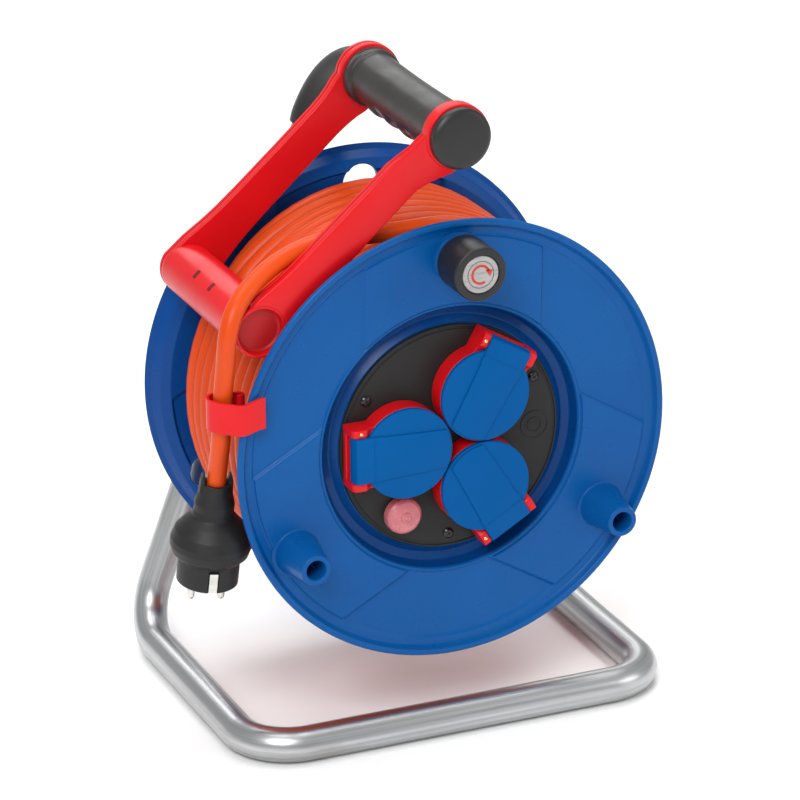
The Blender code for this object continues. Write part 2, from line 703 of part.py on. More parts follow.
def make_panel():
    """Round outlet panel with its screws, thermal cut-out and push button."""
    outline = round_outline((0.0, 0.0), PANEL_R, 40)
    panel = slab("outlet_panel", BLACK, outline, PANEL_Y, PANEL_Y + PANEL_T)
    groove = tube_profile(PANEL_R - 3.2, PANEL_R - 1.2, PANEL_Y - 2.0, PANEL_Y + 0.7)
    cut(panel, turned("panel_groove", BLACK, groove, 40))
    for number, degrees in enumerate(OUTLET_ANGLES):
        centre = radial_point(OUTLET_RADIUS, degrees)
        hole = rod_profile(24.0, -5.0, 20.0, 0.1)
        cut(panel, turned(f"outlet_opening_{number}", BLACK, hole, 24, centre))
    reset_centre = radial_point(RESET_RADIUS, RESET_ANGLE)
    cut(panel, turned("reset_opening", BLACK, rod_profile(8.6, -5.0, 20.0, 0.1), 16, reset_centre))
    for number, (radius, degrees) in enumerate(PANEL_SCREWS):
        centre = radial_point(radius, degrees)
        cut(panel, turned(f"screw_opening_{number}", BLACK, rod_profile(2.0, -5.0, 20.0, 0.1), 12, centre))
        head = PANEL_Y - GAP
        screw = [(0.0, head - 1.5), (2.3, head - 1.3), (3.5, head - 0.6), (3.5, head), (1.6, head),
                 (1.6, 19.0), (0.0, 20.0)]
        turned(f"panel_screw_{number + 1}", STEEL, screw, 16, centre)

    body = [(5.0, PANEL_Y + PANEL_T + GAP), (9.0, PANEL_Y + PANEL_T + GAP), (9.0, 36.0), (0.0, 36.0),
            (0.0, 30.0), (5.0, 30.0)]
    turned("thermal_cutout", BLACK, body, 16, reset_centre)
    seat = PANEL_Y - GAP
    boot = [(0.0, -2.7), (2.8, -2.6), (3.8, -1.5), (9.6, -0.8), (11.4, 0.6), (12.0, 2.4), (12.0, seat),
            (9.4, seat), (9.4, 2.6), (7.6, 0.8), (5.4, 0.2), (3.2, -1.3), (0.0, -1.6)]
    turned("reset_cover", PINK, boot, 16, reset_centre)
    button = [(0.0, -1.2), (3.0, -0.9), (4.4, 0.4), (4.7, 2.0), (4.7, 24.0), (0.0, 24.0)]
    turned("reset_button", PINK, button, 16, reset_centre, (reset_centre[0], 0.0, reset_centre[1]))


def hinge_bmesh(profile):
    """Revolve a (radius, lateral) profile about the hinge line of the outlet at angle zero."""
    bm = turned_bmesh(profile, 12)
    bm.transform(Matrix.Rotation(math.radians(90.0), 4, "X"))
    bm.transform(Matrix.Translation((HINGE_RADIUS, HINGE_Y, 0.0)))
    return bm


def lid_solid(name, degrees):
    """One outlet lid: disc with a flat band and a hinge barrel, turning on its pin."""
    pivot = spin((HINGE_RADIUS, HINGE_Y, 0.0), degrees)
    rear_y = LID_FRONT_Y + LID_T
    disc = [(0.0, LID_FRONT_Y), (LID_R - 1.4, LID_FRONT_Y), (LID_R, LID_FRONT_Y + 1.2), (LID_R, rear_y),
            (22.6, rear_y), (22.6, rear_y + 3.2), (0.0, rear_y + 3.2)]
    bm = spin_bmesh(turned_bmesh(disc, 24, (OUTLET_RADIUS, 0.0)), degrees)
    lid = finish(bm, name, LID_BLUE, pivot)
    half = EAR_INNER - GAP
    front = LID_FRONT_Y - 1.1
    outer = HINGE_RADIUS + HINGE_BARREL_R
    outline = [
        (OUTLET_RADIUS - 24.6, front), (HINGE_RADIUS - 6.0, front), (HINGE_RADIUS + 3.0, front),
        (outer, front + 2.6), (outer, HINGE_Y), (outer - 1.4, HINGE_Y + 3.5),
        (HINGE_RADIUS, HINGE_Y + HINGE_BARREL_R), (HINGE_RADIUS - 3.5, HINGE_Y + 3.5),
        (HINGE_RADIUS - 5.0, rear_y), (OUTLET_RADIUS - 24.6, LID_FRONT_Y + 1.0),
    ]
    strap = prism_bmesh(outline, -half, half, along_z)
    add(lid, finish(spin_bmesh(strap, degrees), f"{name}_band", LID_BLUE, pivot))
    bore = hinge_bmesh([(0.0, -30.0), (PIN_BORE_R, -30.0), (PIN_BORE_R, -SPRING_ROOM), (4.0, -SPRING_ROOM),
                        (4.0, SPRING_ROOM), (PIN_BORE_R, SPRING_ROOM), (PIN_BORE_R, 30.0), (0.0, 30.0)])
    cut(lid, finish(spin_bmesh(bore, degrees), f"{name}_bore", LID_BLUE, pivot))


def frame_solid(name, degrees):
    """Red collar round one outlet, with the two hinge ears."""
    low = LID_FRONT_Y + LID_T + GAP
    high = PANEL_Y - GAP
    ring = [(23.3, low), (LID_R, low), (LID_R, high), (23.3, high)]
    bm = spin_bmesh(turned_bmesh(ring, 24, (OUTLET_RADIUS, 0.0)), degrees)
    collar = finish(bm, name, RED)
    base_front = HINGE_Y + HINGE_BARREL_R + 1.4
    base = prism_bmesh(
        [(OUTLET_RADIUS + 25.0, 0.3 - EAR_OUTER), (71.5, 0.3 - EAR_OUTER), (71.5, EAR_OUTER - 0.3),
         (OUTLET_RADIUS + 25.0, EAR_OUTER - 0.3)],
        base_front, high, along_y)
    add(collar, finish(spin_bmesh(base, degrees), f"{name}_base", RED))
    ear_outline = [
        (53.8, high - 0.2), (53.8, low + 0.9), (60.8, low + 0.9), (61.0, -7.6), (62.0, -9.0),
        (63.8, -10.1), (68.8, -10.1), (70.6, -9.0), (71.8, -7.2), (71.8, high - 0.2),
    ]
    for side in (-1, 1):
        near, far = sorted((side * (EAR_INNER - 0.4), side * EAR_OUTER))
        ear = prism_bmesh(ear_outline, near, far, along_z)
        add(collar, finish(spin_bmesh(ear, degrees), f"{name}_ear_{side}", RED))
    sweep_room = prism_bmesh(
        [(54.5, LID_FRONT_Y - 5.0), (80.0, LID_FRONT_Y - 5.0), (80.0, base_front), (60.2, base_front),
         (54.5, low - 0.1)],
        -EAR_INNER, EAR_INNER, along_z)
    cut(collar, finish(spin_bmesh(sweep_room, degrees), f"{name}_room", RED))
    bore = hinge_bmesh(rod_profile(PIN_BORE_R, -30.0, 30.0, 0.1))
    cut(collar, finish(spin_bmesh(bore, degrees), f"{name}_bore", RED))


def socket_solid(name, degrees):
    """Earthed outlet insert: a round well with two pin holes."""
    well_r = 19.6
    floor_y = 16.5
    body = [(0.0, 27.0), (23.0, 27.0), (23.0, -2.0), (well_r, -2.0), (well_r, floor_y), (0.0, floor_y)]
    bm = spin_bmesh(turned_bmesh(body, 24, (OUTLET_RADIUS, 0.0)), degrees)
    socket = finish(bm, name, BLACK)
    for side in (-1, 1):
        hole = turned_bmesh(rod_profile(2.7, 10.0, 35.0, 0.1), 12, (OUTLET_RADIUS, side * 9.5))
        cut(socket, finish(spin_bmesh(hole, degrees), f"{name}_pin_{side}", BLACK))
        slot = prism_bmesh(
            [(OUTLET_RADIUS + side * 17.4, -3.6), (OUTLET_RADIUS + side * 19.4, -3.6),
             (OUTLET_RADIUS + side * 19.4, 3.6), (OUTLET_RADIUS + side * 17.4, 3.6)], 14.0, 30.0, along_y)
        cut(socket, finish(spin_bmesh(slot, degrees), f"{name}_slot_{side}", BLACK))


def earth_strap(name, degrees):
    """U-shaped earth contact that reaches into the well on both sides."""
    reach = 18.9
    thick = 0.9
    front, back = 2.0, 28.4
    outline = []
    for side in (-1, 1):
        leg = [(side * reach, back), (side * reach, 8.0), (side * (reach - 1.6), 5.0), (side * reach, front),
               (side * (reach - thick), front), (side * (reach - 1.6 - thick), 5.0),
               (side * (reach - thick), 8.0), (side * (reach - thick), back - thick)]
        if side > 0:
            leg.reverse()
        outline += leg
    bm = prism_bmesh(outline, -3.0, 3.0, lambda a, b, depth: (OUTLET_RADIUS + a, b, depth))
    finish(spin_bmesh(bm, degrees), name, NICKEL)


def make_outlets():
    """Three identical outlets: insert, earth strap, red collar, lid, pin and spring."""
    for number, degrees in enumerate(OUTLET_ANGLES, start=1):
        socket_solid(f"socket_{number}", degrees)
        earth_strap(f"earth_strap_{number}", degrees)
        frame_solid(f"outlet_collar_{number}", degrees)
        lid_solid(f"lid_{number}", degrees)
        pin = hinge_bmesh(rod_profile(PIN_BORE_R - GAP, -EAR_OUTER + 0.4, EAR_OUTER - 0.4, 0.2))
        finish(spin_bmesh(pin, degrees), f"hinge_pin_{number}", BRASS)
        coil = hinge_bmesh(tube_profile(PIN_BORE_R + 0.1, 3.5, GAP - SPRING_ROOM, SPRING_ROOM - GAP))
        finish(spin_bmesh(coil, degrees), f"lid_spring_{number}", STEEL)


def make_knob():
    """Crank knob that spins on a pin through the front flange."""
    centre = radial_point(KNOB_RADIUS, KNOB_ANGLE)
    pivot = (centre[0], 0.0, centre[1])
    front, rear = KNOB_Y
    knob = [
        (12.1, front + 0.7), (13.0, front), (KNOB_R - 1.4, front), (KNOB_R, front + 1.4),
        (KNOB_R, rear - 1.0), (KNOB_R - 1.0, rear), (4.4, rear), (4.4, -24.6), (7.0, -24.6),
        (7.0, -30.0), (12.1, -30.0),
    ]
    turned("crank_knob", BLACK, knob, 20, centre, pivot)
    label = [(0.0, front + 0.3), (11.2, front + 0.3), (11.8, front + 0.6), (11.8, -30.3), (0.0, -30.3)]
    turned("knob_label", LABEL, label, 20, centre, pivot)
    pin = [(0.0, -28.4), (5.6, -28.4), (6.2, -27.8), (6.2, -25.0), (4.0, -25.0), (4.0, 6.8), (6.6, 6.8),
           (6.6, 8.6), (5.6, 9.4), (0.0, 9.4)]
    turned("knob_pin", STEEL, pin, 14, centre)


def smooth_route(points, count):
    """Sample an even Catmull-Rom curve through the route points."""
    chain = [points[0] * 2 - points[1]] + points + [points[-1] * 2 - points[-2]]
    dense = []
    for index in range(1, len(chain) - 2):
        p0, p1, p2, p3 = chain[index - 1:index + 3]
        for step in range(16):
            t = step / 16.0
            dense.append(0.5 * (
                p1 * 2 + (p2 - p0) * t + (p0 * 2 - p1 * 5 + p2 * 4 - p3) * t ** 2
                + (p1 * 3 - p0 - p2 * 3 + p3) * t ** 3))
    dense.append(points[-1])
    travelled = [0.0]
    for first, second in zip(dense, dense[1:]):
        travelled.append(travelled[-1] + (second - first).length)
    route = []
    for index in range(count):
        wanted = travelled[-1] * index / (count - 1)
        spot = next(i for i, distance in enumerate(travelled) if distance >= wanted - 1e-9)
        if spot == 0:
            route.append(dense[0])
            continue
        share = (wanted - travelled[spot - 1]) / (travelled[spot] - travelled[spot - 1])
        route.append(dense[spot - 1].lerp(dense[spot], share))
    return route


def make_clip():
    """Springy strap: a rolled end, a hook round the hanging cord and a lap over the front rim."""
    rolled_end = arc_points((-137.2, 12.9), 2.7, -130.0, 105.0, 8)
    hook = arc_points(CLIP_HOOK_CENTRE, CLIP_HOOK_R, 60.0, 215.0, 9)
    lap = [(-152.6, 1.6), (-147.5, -2.2), (-142.5, -4.3), (-134.0, -4.2), (-126.0, -2.6)]
    band = prism_bmesh(band_outline(rolled_end + hook + lap, CLIP_HALF), *CLIP_Z, along_z)
    finish(band, "cord_clip", RED, GUIDE_PIVOT)


def make_tail():
    """Free end of the cord: off the top of the winding, over the guide, down to its plug."""
    route = [
        Vector((0.0, 21.0, 134.6)), Vector((-30.6, 21.0, 134.7)), Vector((-61.0, 21.4, 135.3)),
        Vector((-76.5, 21.7, 134.7)), Vector((-91.6, 21.4, 132.0)), Vector((-106.0, 20.0, 127.1)),
        Vector((-119.5, 17.1, 120.5)), Vector((-131.8, 12.3, 112.9)), Vector((-142.1, 5.9, 103.5)),
        Vector((-147.3, 3.4, 89.7)), Vector((-147.8, 5.6, 74.5)), Vector((-148.2, 8.4, 60.0)),
        Vector((-148.6, 10.8, 46.0)), Vector((-148.9, 12.2, 31.0)), Vector((-149.1, 15.0, 15.0)),
        PLUG_NECK + PLUG_AXIS * -15.0, PLUG_NECK + PLUG_AXIS * -7.0, PLUG_NECK + PLUG_AXIS * -0.4,
    ]
    points = smooth_route(route, 42)
    curve = bpy.data.curves.new("cord_tail", "CURVE")
    curve.dimensions = "3D"
    curve.bevel_depth = CORD_R * MM
    curve.bevel_resolution = 3
    curve.use_fill_caps = True
    spline = curve.splines.new("POLY")
    spline.points.add(len(points) - 1)
    for vertex, point in zip(spline.points, points):
        local = (point - Vector(GUIDE_PIVOT)) * MM
        vertex.co = (*local, 1.0)
    curve.materials.append(ORANGE)
    tail = bpy.data.objects.new("cord_tail", curve)
    bpy.context.scene.collection.objects.link(tail)
    tail.location = (0.0, FRONT_RIM_Y * MM, (HANDLE_Z + AXLE_HEIGHT) * MM)


def make_plug():
    """Moulded plug at the end of the cord, with two pins and the earth strips on its sides."""
    turn = Vector((0.0, 1.0, 0.0)).rotation_difference(PLUG_AXIS).to_matrix().to_4x4()
    twist = Matrix.Rotation(math.radians(PLUG_TURN), 4, "Y")
    hang = Matrix.Translation(PLUG_NECK) @ turn @ twist
    shape = [
        (7.0, -4.0), (9.4, -4.0), (10.0, -1.0), (12.8, 9.0), (12.6, 14.0), (13.6, 18.0), (18.0, 22.0),
        (23.0, 28.0), (25.2, 34.0), (25.4, 38.0), (24.0, 43.0), (20.0, 46.5), (PLUG_FACE_R, 47.2),
        (PLUG_FACE_R, PLUG_FACE - 0.6), (PLUG_FACE_R - 0.6, PLUG_FACE), (0.0, PLUG_FACE),
        (0.0, 0.6), (7.0, 0.6),
    ]
    body = turned_bmesh(shape, 24)
    body.transform(hang)
    plug = finish(body, "plug_body", RUBBER, GUIDE_PIVOT)
    for side in (-1, 1):
        slot = prism_bmesh(
            [(side * 17.6, -3.2), (side * 22.0, -3.2), (side * 22.0, 3.2), (side * 17.6, 3.2)],
            49.6, PLUG_FACE + 8.0, along_y)
        slot.transform(hang)
        cut(plug, finish(slot, f"earth_slot_{side}", RUBBER, GUIDE_PIVOT))
        centre = (0.0, side * PIN_SPACING)
        hole = turned_bmesh(rod_profile(PIN_R + GAP, 51.4, PLUG_FACE + 8.0, 0.1), 14, centre)
        hole.transform(hang)
        cut(plug, finish(hole, f"pin_socket_{side}", RUBBER, GUIDE_PIVOT))
        tag = "a" if side < 0 else "b"
        pin = turned_bmesh(
            [(0.0, 51.8), (PIN_R, 51.8), (PIN_R, PIN_TIP - 1.8), (PIN_R - 0.8, PIN_TIP - 0.2),
             (0.0, PIN_TIP)], 14, centre)
        pin.transform(hang)
        finish(pin, f"plug_pin_{tag}", NICKEL, GUIDE_PIVOT)
        contact = prism_bmesh(
            [(side * 18.0, -2.6), (side * 19.2, -2.6), (side * 19.2, 2.6), (side * 18.0, 2.6)],
            50.0, PLUG_FACE - 0.8, along_y)
        contact.transform(hang)
        finish(contact, f"plug_earth_{tag}", NICKEL, GUIDE_PIVOT)


make_frame()
make_handle()
make_guide()
make_front_flange()
make_rear_flange()
make_drum_core()
make_winding()
make_panel()
make_outlets()
make_knob()
make_tail()
make_plug()
make_clip()
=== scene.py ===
"""Looks of the extension cord reel: fine meshes, materials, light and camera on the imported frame."""
import math

import bmesh
import bpy
from mathutils import Matrix, Vector, noise

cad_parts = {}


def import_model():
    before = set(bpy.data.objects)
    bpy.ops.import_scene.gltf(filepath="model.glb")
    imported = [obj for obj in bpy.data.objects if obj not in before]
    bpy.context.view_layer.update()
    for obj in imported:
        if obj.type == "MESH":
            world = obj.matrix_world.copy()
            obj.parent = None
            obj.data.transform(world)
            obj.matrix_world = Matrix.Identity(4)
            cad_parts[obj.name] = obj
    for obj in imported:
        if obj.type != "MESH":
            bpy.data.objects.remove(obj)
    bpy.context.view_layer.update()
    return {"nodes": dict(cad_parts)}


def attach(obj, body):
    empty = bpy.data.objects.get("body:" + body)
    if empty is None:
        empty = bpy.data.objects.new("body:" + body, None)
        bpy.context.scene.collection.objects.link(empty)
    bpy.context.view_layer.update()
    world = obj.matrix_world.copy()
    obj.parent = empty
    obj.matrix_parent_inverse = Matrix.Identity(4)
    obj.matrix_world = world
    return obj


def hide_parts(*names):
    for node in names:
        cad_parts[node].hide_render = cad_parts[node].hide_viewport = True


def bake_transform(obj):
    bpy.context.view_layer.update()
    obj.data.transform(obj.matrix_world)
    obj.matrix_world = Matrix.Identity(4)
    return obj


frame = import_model()
nodes = frame["nodes"]

# model millimetres: x to the right, y backwards from the front flange, z up from the drum axis
MM = 0.001
AXLE_HEIGHT = 193.6
FRONT_RIM_Y = -88.0


def world(point):
    """Model millimetres to the shared frame in metres."""
    x, y, z = point
    return Vector((x * MM, (y + FRONT_RIM_Y) * MM, (z + AXLE_HEIGHT) * MM))


def add_object(name, data):
    """New object in the scene."""
    item = bpy.data.objects.new(name, data)
    bpy.context.scene.collection.objects.link(item)
    return item


def take_mesh(bm, name):
    """Turn a bmesh into a mesh and free it."""
    mesh = bpy.data.meshes.new(name)
    bm.to_mesh(mesh)
    bm.free()
    return mesh


# ---- camera
CAMERA_AT = (-1040.132, -2346.815, 1036.382)
CAMERA_YAW = math.radians(23.164)
CAMERA_PITCH = math.radians(21.472)
CAMERA_ROLL = math.radians(-0.382)
LENS = 200.55
SENSOR = 36.0
FAR_CLIP = 30.0


def make_camera():
    """Long lens, a little above the reel and to its left; pitch looks down from level."""
    turn = Matrix.Rotation(-CAMERA_YAW, 4, "Z")
    turn @= Matrix.Rotation(math.radians(90.0) - CAMERA_PITCH, 4, "X")
    turn @= Matrix.Rotation(CAMERA_ROLL, 4, "Z")
    data = bpy.data.cameras.new("camera")
    data.lens = LENS
    data.sensor_width = SENSOR
    data.clip_end = FAR_CLIP
    camera = add_object("camera", data)
    camera.matrix_world = Matrix.Translation(world(CAMERA_AT)) @ turn
    bpy.context.scene.camera = camera


make_camera()


# ---- materials
def set_inputs(node, values):
    """Set plain values on the inputs of a node by name."""
    for name, value in values.items():
        node.inputs[name].default_value = value


def node_material(name):
    """New node material; returns it with its tree and its Principled shader."""
    material = bpy.data.materials.new(name)
    material.use_nodes = True
    tree = material.node_tree
    return material, tree, tree.nodes["Principled BSDF"]


def noise_node(tree, scale, detail=4.0, rough=0.55, stretch=(1.0, 1.0, 1.0), attribute=None):
    """Noise texture in object space, or over a mesh attribute."""
    if attribute is None:
        source = tree.nodes.new("ShaderNodeTexCoord").outputs["Object"]
    else:
        source_node = tree.nodes.new("ShaderNodeAttribute")
        source_node.attribute_name = attribute
        source = source_node.outputs["Vector"]
    mapping = tree.nodes.new("ShaderNodeMapping")
    set_inputs(mapping, {"Scale": stretch})
    tree.links.new(source, mapping.inputs["Vector"])
    texture = tree.nodes.new("ShaderNodeTexNoise")
    set_inputs(texture, {"Scale": scale, "Detail": detail, "Roughness": rough})
    tree.links.new(mapping.outputs["Vector"], texture.inputs["Vector"])
    return texture.outputs["Fac"]


def spread(tree, value, low, high, from_low=0.3, from_high=0.7):
    """Map a factor to a range of values."""
    node = tree.nodes.new("ShaderNodeMapRange")
    set_inputs(node, {"From Min": from_low, "From Max": from_high, "To Min": low, "To Max": high})
    tree.links.new(value, node.inputs["Value"])
    return node.outputs["Result"]


def blend_colours(tree, factor, first, second):
    """Mix two colours, or two colour outputs, by a factor."""
    node = tree.nodes.new("ShaderNodeMix")
    node.data_type = "RGBA"
    tree.links.new(factor, node.inputs["Factor"])
    for name, value in (("A", first), ("B", second)):
        socket = next(s for s in node.inputs if s.name == name and s.type == "RGBA")
        if isinstance(value, tuple):
            socket.default_value = (*value, 1.0)
        else:
            tree.links.new(value, socket)
    return next(s for s in node.outputs if s.type == "RGBA")


def bump(tree, shader, height, distance, strength=1.0, below=None):
    """Add a bump to the shader and return its normal output."""
    node = tree.nodes.new("ShaderNodeBump")
    set_inputs(node, {"Distance": distance, "Strength": strength})
    tree.links.new(height, node.inputs["Height"])
    if below is not None:
        tree.links.new(below, node.inputs["Normal"])
    tree.links.new(node.outputs["Normal"], shader.inputs["Normal"])
    return node.outputs["Normal"]


def paint(tree, shader, factor, dark, light):
    """Colour the shader between two colours by a noise."""
    colour = blend_colours(tree, spread(tree, factor, 0.0, 1.0), dark, light)
    tree.links.new(colour, shader.inputs["Base Color"])


def roughen(tree, shader, factor, low, high):
    """Vary the roughness of the shader by a noise."""
    tree.links.new(spread(tree, factor, low, high), shader.inputs["Roughness"])


def moulded(name, light, dark, rough, grain_scale=900.0, grain=0.000012, specular=0.25):
    """Moulded plastic: slow colour drift, scuffed gloss and a fine surface grain."""
    material, tree, shader = node_material(name)
    paint(tree, shader, noise_node(tree, 9.0, 3.0), dark, light)
    roughen(tree, shader, noise_node(tree, 60.0, 6.0, 0.65), *rough)
    swell = bump(tree, shader, noise_node(tree, 22.0, 2.0), 0.00025, 0.25)
    bump(tree, shader, noise_node(tree, grain_scale, 2.0), grain, 1.0, swell)
    set_inputs(shader, {"Specular IOR Level": specular})
    return material


def drum_plastic(name, light, dark):
    """Glossy blue plastic of the drum."""
    return moulded(name, light, dark, (0.24, 0.36), 1400.0, 0.000010, 0.16)


DRUM_BLUE = drum_plastic("drum_blue", (0.001, 0.084, 0.292), (0.001, 0.070, 0.262))
# painted shade: a darker copy of the drum blue for the groove faces between the lip and the panel, standing
# in for the shade in that groove
GROOVE_SHADE_BLUE = drum_plastic("groove_shade_blue", (0.001, 0.046, 0.190), (0.001, 0.036, 0.160))
# painted shade: the drum blue made darker for the rear drum side, which sits in shade behind the front
# flange and the winding
REAR_SHADE_BLUE = drum_plastic("rear_shade_blue", (0.001, 0.058, 0.250), (0.001, 0.046, 0.215))
LID_BLUE = moulded(
    "lid_blue", (0.000, 0.084, 0.282), (0.000, 0.074, 0.262), (0.40, 0.52), 1800.0, 0.000016, 0.06)
RED = moulded("red_plastic", (0.640, 0.006, 0.010), (0.560, 0.004, 0.008), (0.28, 0.40), 1300.0)
# painted shade: a darker copy of the red for the bottom of the lobe's well, standing in for the shade inside
# that recess
WELL_SHADE_RED = moulded("well_shade_red", (0.420, 0.010, 0.013), (0.360, 0.008, 0.010), (0.36, 0.48), 1300.0)
SHADOW_RED = moulded("red_shadow", (0.16, 0.005, 0.006), (0.10, 0.003, 0.004), (0.5, 0.6))
BLACK = moulded(
    "black_plastic", (0.017, 0.016, 0.016), (0.010, 0.009, 0.009), (0.34, 0.46), 1500.0, 0.000018, 0.40)
PANEL_BLACK = moulded(
    "panel_black", (0.016, 0.015, 0.015), (0.010, 0.010, 0.010), (0.46, 0.58), 1100.0, 0.000030, 0.28)
SCREW_BLACK = moulded(
    "screw_black", (0.006, 0.006, 0.006), (0.003, 0.003, 0.003), (0.16, 0.26), 1500.0, 0.000008, 0.50)
SOCKET_BLACK = moulded("socket_black", (0.008, 0.008, 0.009), (0.005, 0.005, 0.006), (0.40, 0.55))
INK_RED = moulded("label_red", (0.52, 0.05, 0.04), (0.44, 0.035, 0.03), (0.30, 0.42))
INK_GREY = moulded("label_grey", (0.10, 0.10, 0.10), (0.07, 0.07, 0.07), (0.30, 0.42))


def rubber_material(name, light, dark, rough, specular):
    """Soft black rubber with a dusty bloom and a fine pebble."""
    material, tree, shader = node_material(name)
    paint(tree, shader, noise_node(tree, 28.0, 7.0, 0.7), dark, light)
    roughen(tree, shader, noise_node(tree, 80.0, 5.0, 0.6), *rough)
    pebble = tree.nodes.new("ShaderNodeTexVoronoi")
    set_inputs(pebble, {"Scale": 1500.0})
    coords = tree.nodes.new("ShaderNodeTexCoord")
    tree.links.new(coords.outputs["Object"], pebble.inputs["Vector"])
    bump(tree, shader, pebble.outputs["Distance"], 0.00004, 0.8)
    set_inputs(shader, {"Specular IOR Level": specular})
    return material


GRIP = rubber_material("grip_rubber", (0.030, 0.028, 0.027), (0.017, 0.016, 0.015), (0.30, 0.44), 0.42)
PLUG = rubber_material("plug_rubber", (0.016, 0.016, 0.017), (0.009, 0.009, 0.010), (0.40, 0.56), 0.30)


def steel_material(name, attribute):
    """Drawn and zinc plated steel: long dark streaks, cloudy zinc and a few brown stains."""
    material, tree, shader = node_material(name)
    set_inputs(shader, {"Metallic": 1.0})
    streak = noise_node(tree, 1.0, 6.0, 0.62, (2.2, 210.0, 210.0), attribute)
    cloud = noise_node(tree, 1.0, 6.0, 0.62, (10.0, 70.0, 70.0), attribute)
    stain = noise_node(tree, 1.0, 5.0, 0.7, (7.0, 26.0, 26.0), attribute)
    streaks = spread(tree, streak, 0.0, 1.0, 0.36, 0.66)
    clouds = spread(tree, cloud, 0.0, 0.6, 0.45, 0.65)
    stains = spread(tree, stain, 0.0, 0.5, 0.56, 0.74)
    drawn = blend_colours(tree, streaks, (0.30, 0.31, 0.315), (0.62, 0.63, 0.635))
    zinc = blend_colours(tree, clouds, drawn, (0.47, 0.48, 0.485))
    worn = blend_colours(tree, stains, zinc, (0.26, 0.23, 0.21))
    tree.links.new(worn, shader.inputs["Base Color"])
    roughen(tree, shader, streak, 0.42, 0.26)
    first = bump(tree, shader, streak, 0.00010, 0.8)
    bump(tree, shader, cloud, 0.00020, 0.5, first)
    return material


TUBE_STEEL = steel_material("tube_steel", "run")
PLAIN_STEEL = steel_material("plated_steel", None)


def metal_material(name, colour, rough):
    """Small turned or stamped metal pieces."""
    material, tree, shader = node_material(name)
    set_inputs(shader, {"Metallic": 1.0})
    darker = tuple(0.72 * c for c in colour)
    paint(tree, shader, noise_node(tree, 120.0, 5.0, 0.65), darker, colour)
    scratch = noise_node(tree, 40.0, 4.0, 0.6, (1.0, 30.0, 1.0))
    roughen(tree, shader, scratch, *rough)
    bump(tree, shader, scratch, 0.00003, 0.6)
    return material


BRASS = metal_material("turned_brass", (0.760, 0.560, 0.240), (0.20, 0.38))
NICKEL = metal_material("nickel_plate", (0.720, 0.700, 0.660), (0.16, 0.34))


def sheath_material(name, light, dark):
    """Orange cable sheath: soft sheen, faint stretch lines along the cable and light dirt."""
    material, tree, shader = node_material(name)
    paint(tree, shader, noise_node(tree, 1.0, 4.0, 0.6, (14.0, 90.0, 90.0), "run"), dark, light)
    roughen(tree, shader, noise_node(tree, 1.0, 5.0, 0.65, (30.0, 240.0, 240.0), "run"), 0.28, 0.42)
    ripple = noise_node(tree, 1.0, 2.0, 0.5, (120.0, 30.0, 30.0), "run")
    first = bump(tree, shader, ripple, 0.00022, 0.35)
    bump(tree, shader, noise_node(tree, 1600.0, 2.0), 0.00001, 1.0, first)
    set_inputs(shader, {"Specular IOR Level": 0.22})
    return material


ORANGE = sheath_material("orange_sheath", (0.640, 0.066, 0.004), (0.560, 0.048, 0.003))


def pink_material():
    """Soft see-through cover over the reset button."""
    material, tree, shader = node_material("soft_pink_cover")
    cloud = noise_node(tree, 140.0, 4.0)
    paint(tree, shader, cloud, (0.62, 0.17, 0.20), (0.74, 0.26, 0.28))
    roughen(tree, shader, cloud, 0.20, 0.34)
    set_inputs(shader, {
        "Subsurface Weight": 0.35, "Subsurface Radius": (0.003, 0.001, 0.001), "Subsurface Scale": 0.6,
        "Transmission Weight": 0.30, "IOR": 1.40})
    bump(tree, shader, cloud, 0.00008, 0.5)
    return material


PINK = pink_material()


def label_material():
    """Silver foil of the knob sticker under a clear coat."""
    material, tree, shader = node_material("silver_label")
    brushed = noise_node(tree, 60.0, 5.0, 0.6, (1.0, 1.0, 14.0))
    paint(tree, shader, brushed, (0.26, 0.25, 0.245), (0.40, 0.39, 0.38))
    roughen(tree, shader, brushed, 0.24, 0.40)
    set_inputs(shader, {"Metallic": 0.35, "Coat Weight": 0.6, "Coat Roughness": 0.08})
    bump(tree, shader, brushed, 0.00003, 0.5)
    return material


LABEL = label_material()


# ---- mesh helpers
def radial_point(radius, degrees, centre=(0.0, 0.0)):
    """The (x, z) pair at a radius and an angle, about the drum axis unless a centre is given."""
    angle = math.radians(degrees)
    return centre[0] + radius * math.cos(angle), centre[1] + radius * math.sin(angle)


def smooth_step(low, high, value):
    """Ease from 0 at low to 1 at high."""
    t = min(1.0, max(0.0, (value - low) / (high - low)))
    return t * t * (3.0 - 2.0 * t)


def placed_mesh(bm, name):
    """Turn a bmesh in model millimetres into a mesh in the shared frame, faces outwards."""
    bmesh.ops.recalc_face_normals(bm, faces=bm.faces)
    for vert in bm.verts:
        vert.co = world(vert.co)
    return take_mesh(bm, name)


def emit(bm, name, material, body, replaced=(), sharp=35.0):
    """Turn a bmesh in model millimetres into a piece that rides on a body."""
    mesh = placed_mesh(bm, name)
    mesh.shade_smooth()
    mesh.set_sharp_from_angle(angle=math.radians(sharp))
    mesh.materials.append(material)
    piece = add_object(name, mesh)
    if body:
        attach(piece, body)
    if replaced:
        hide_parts(*replaced)
    return piece


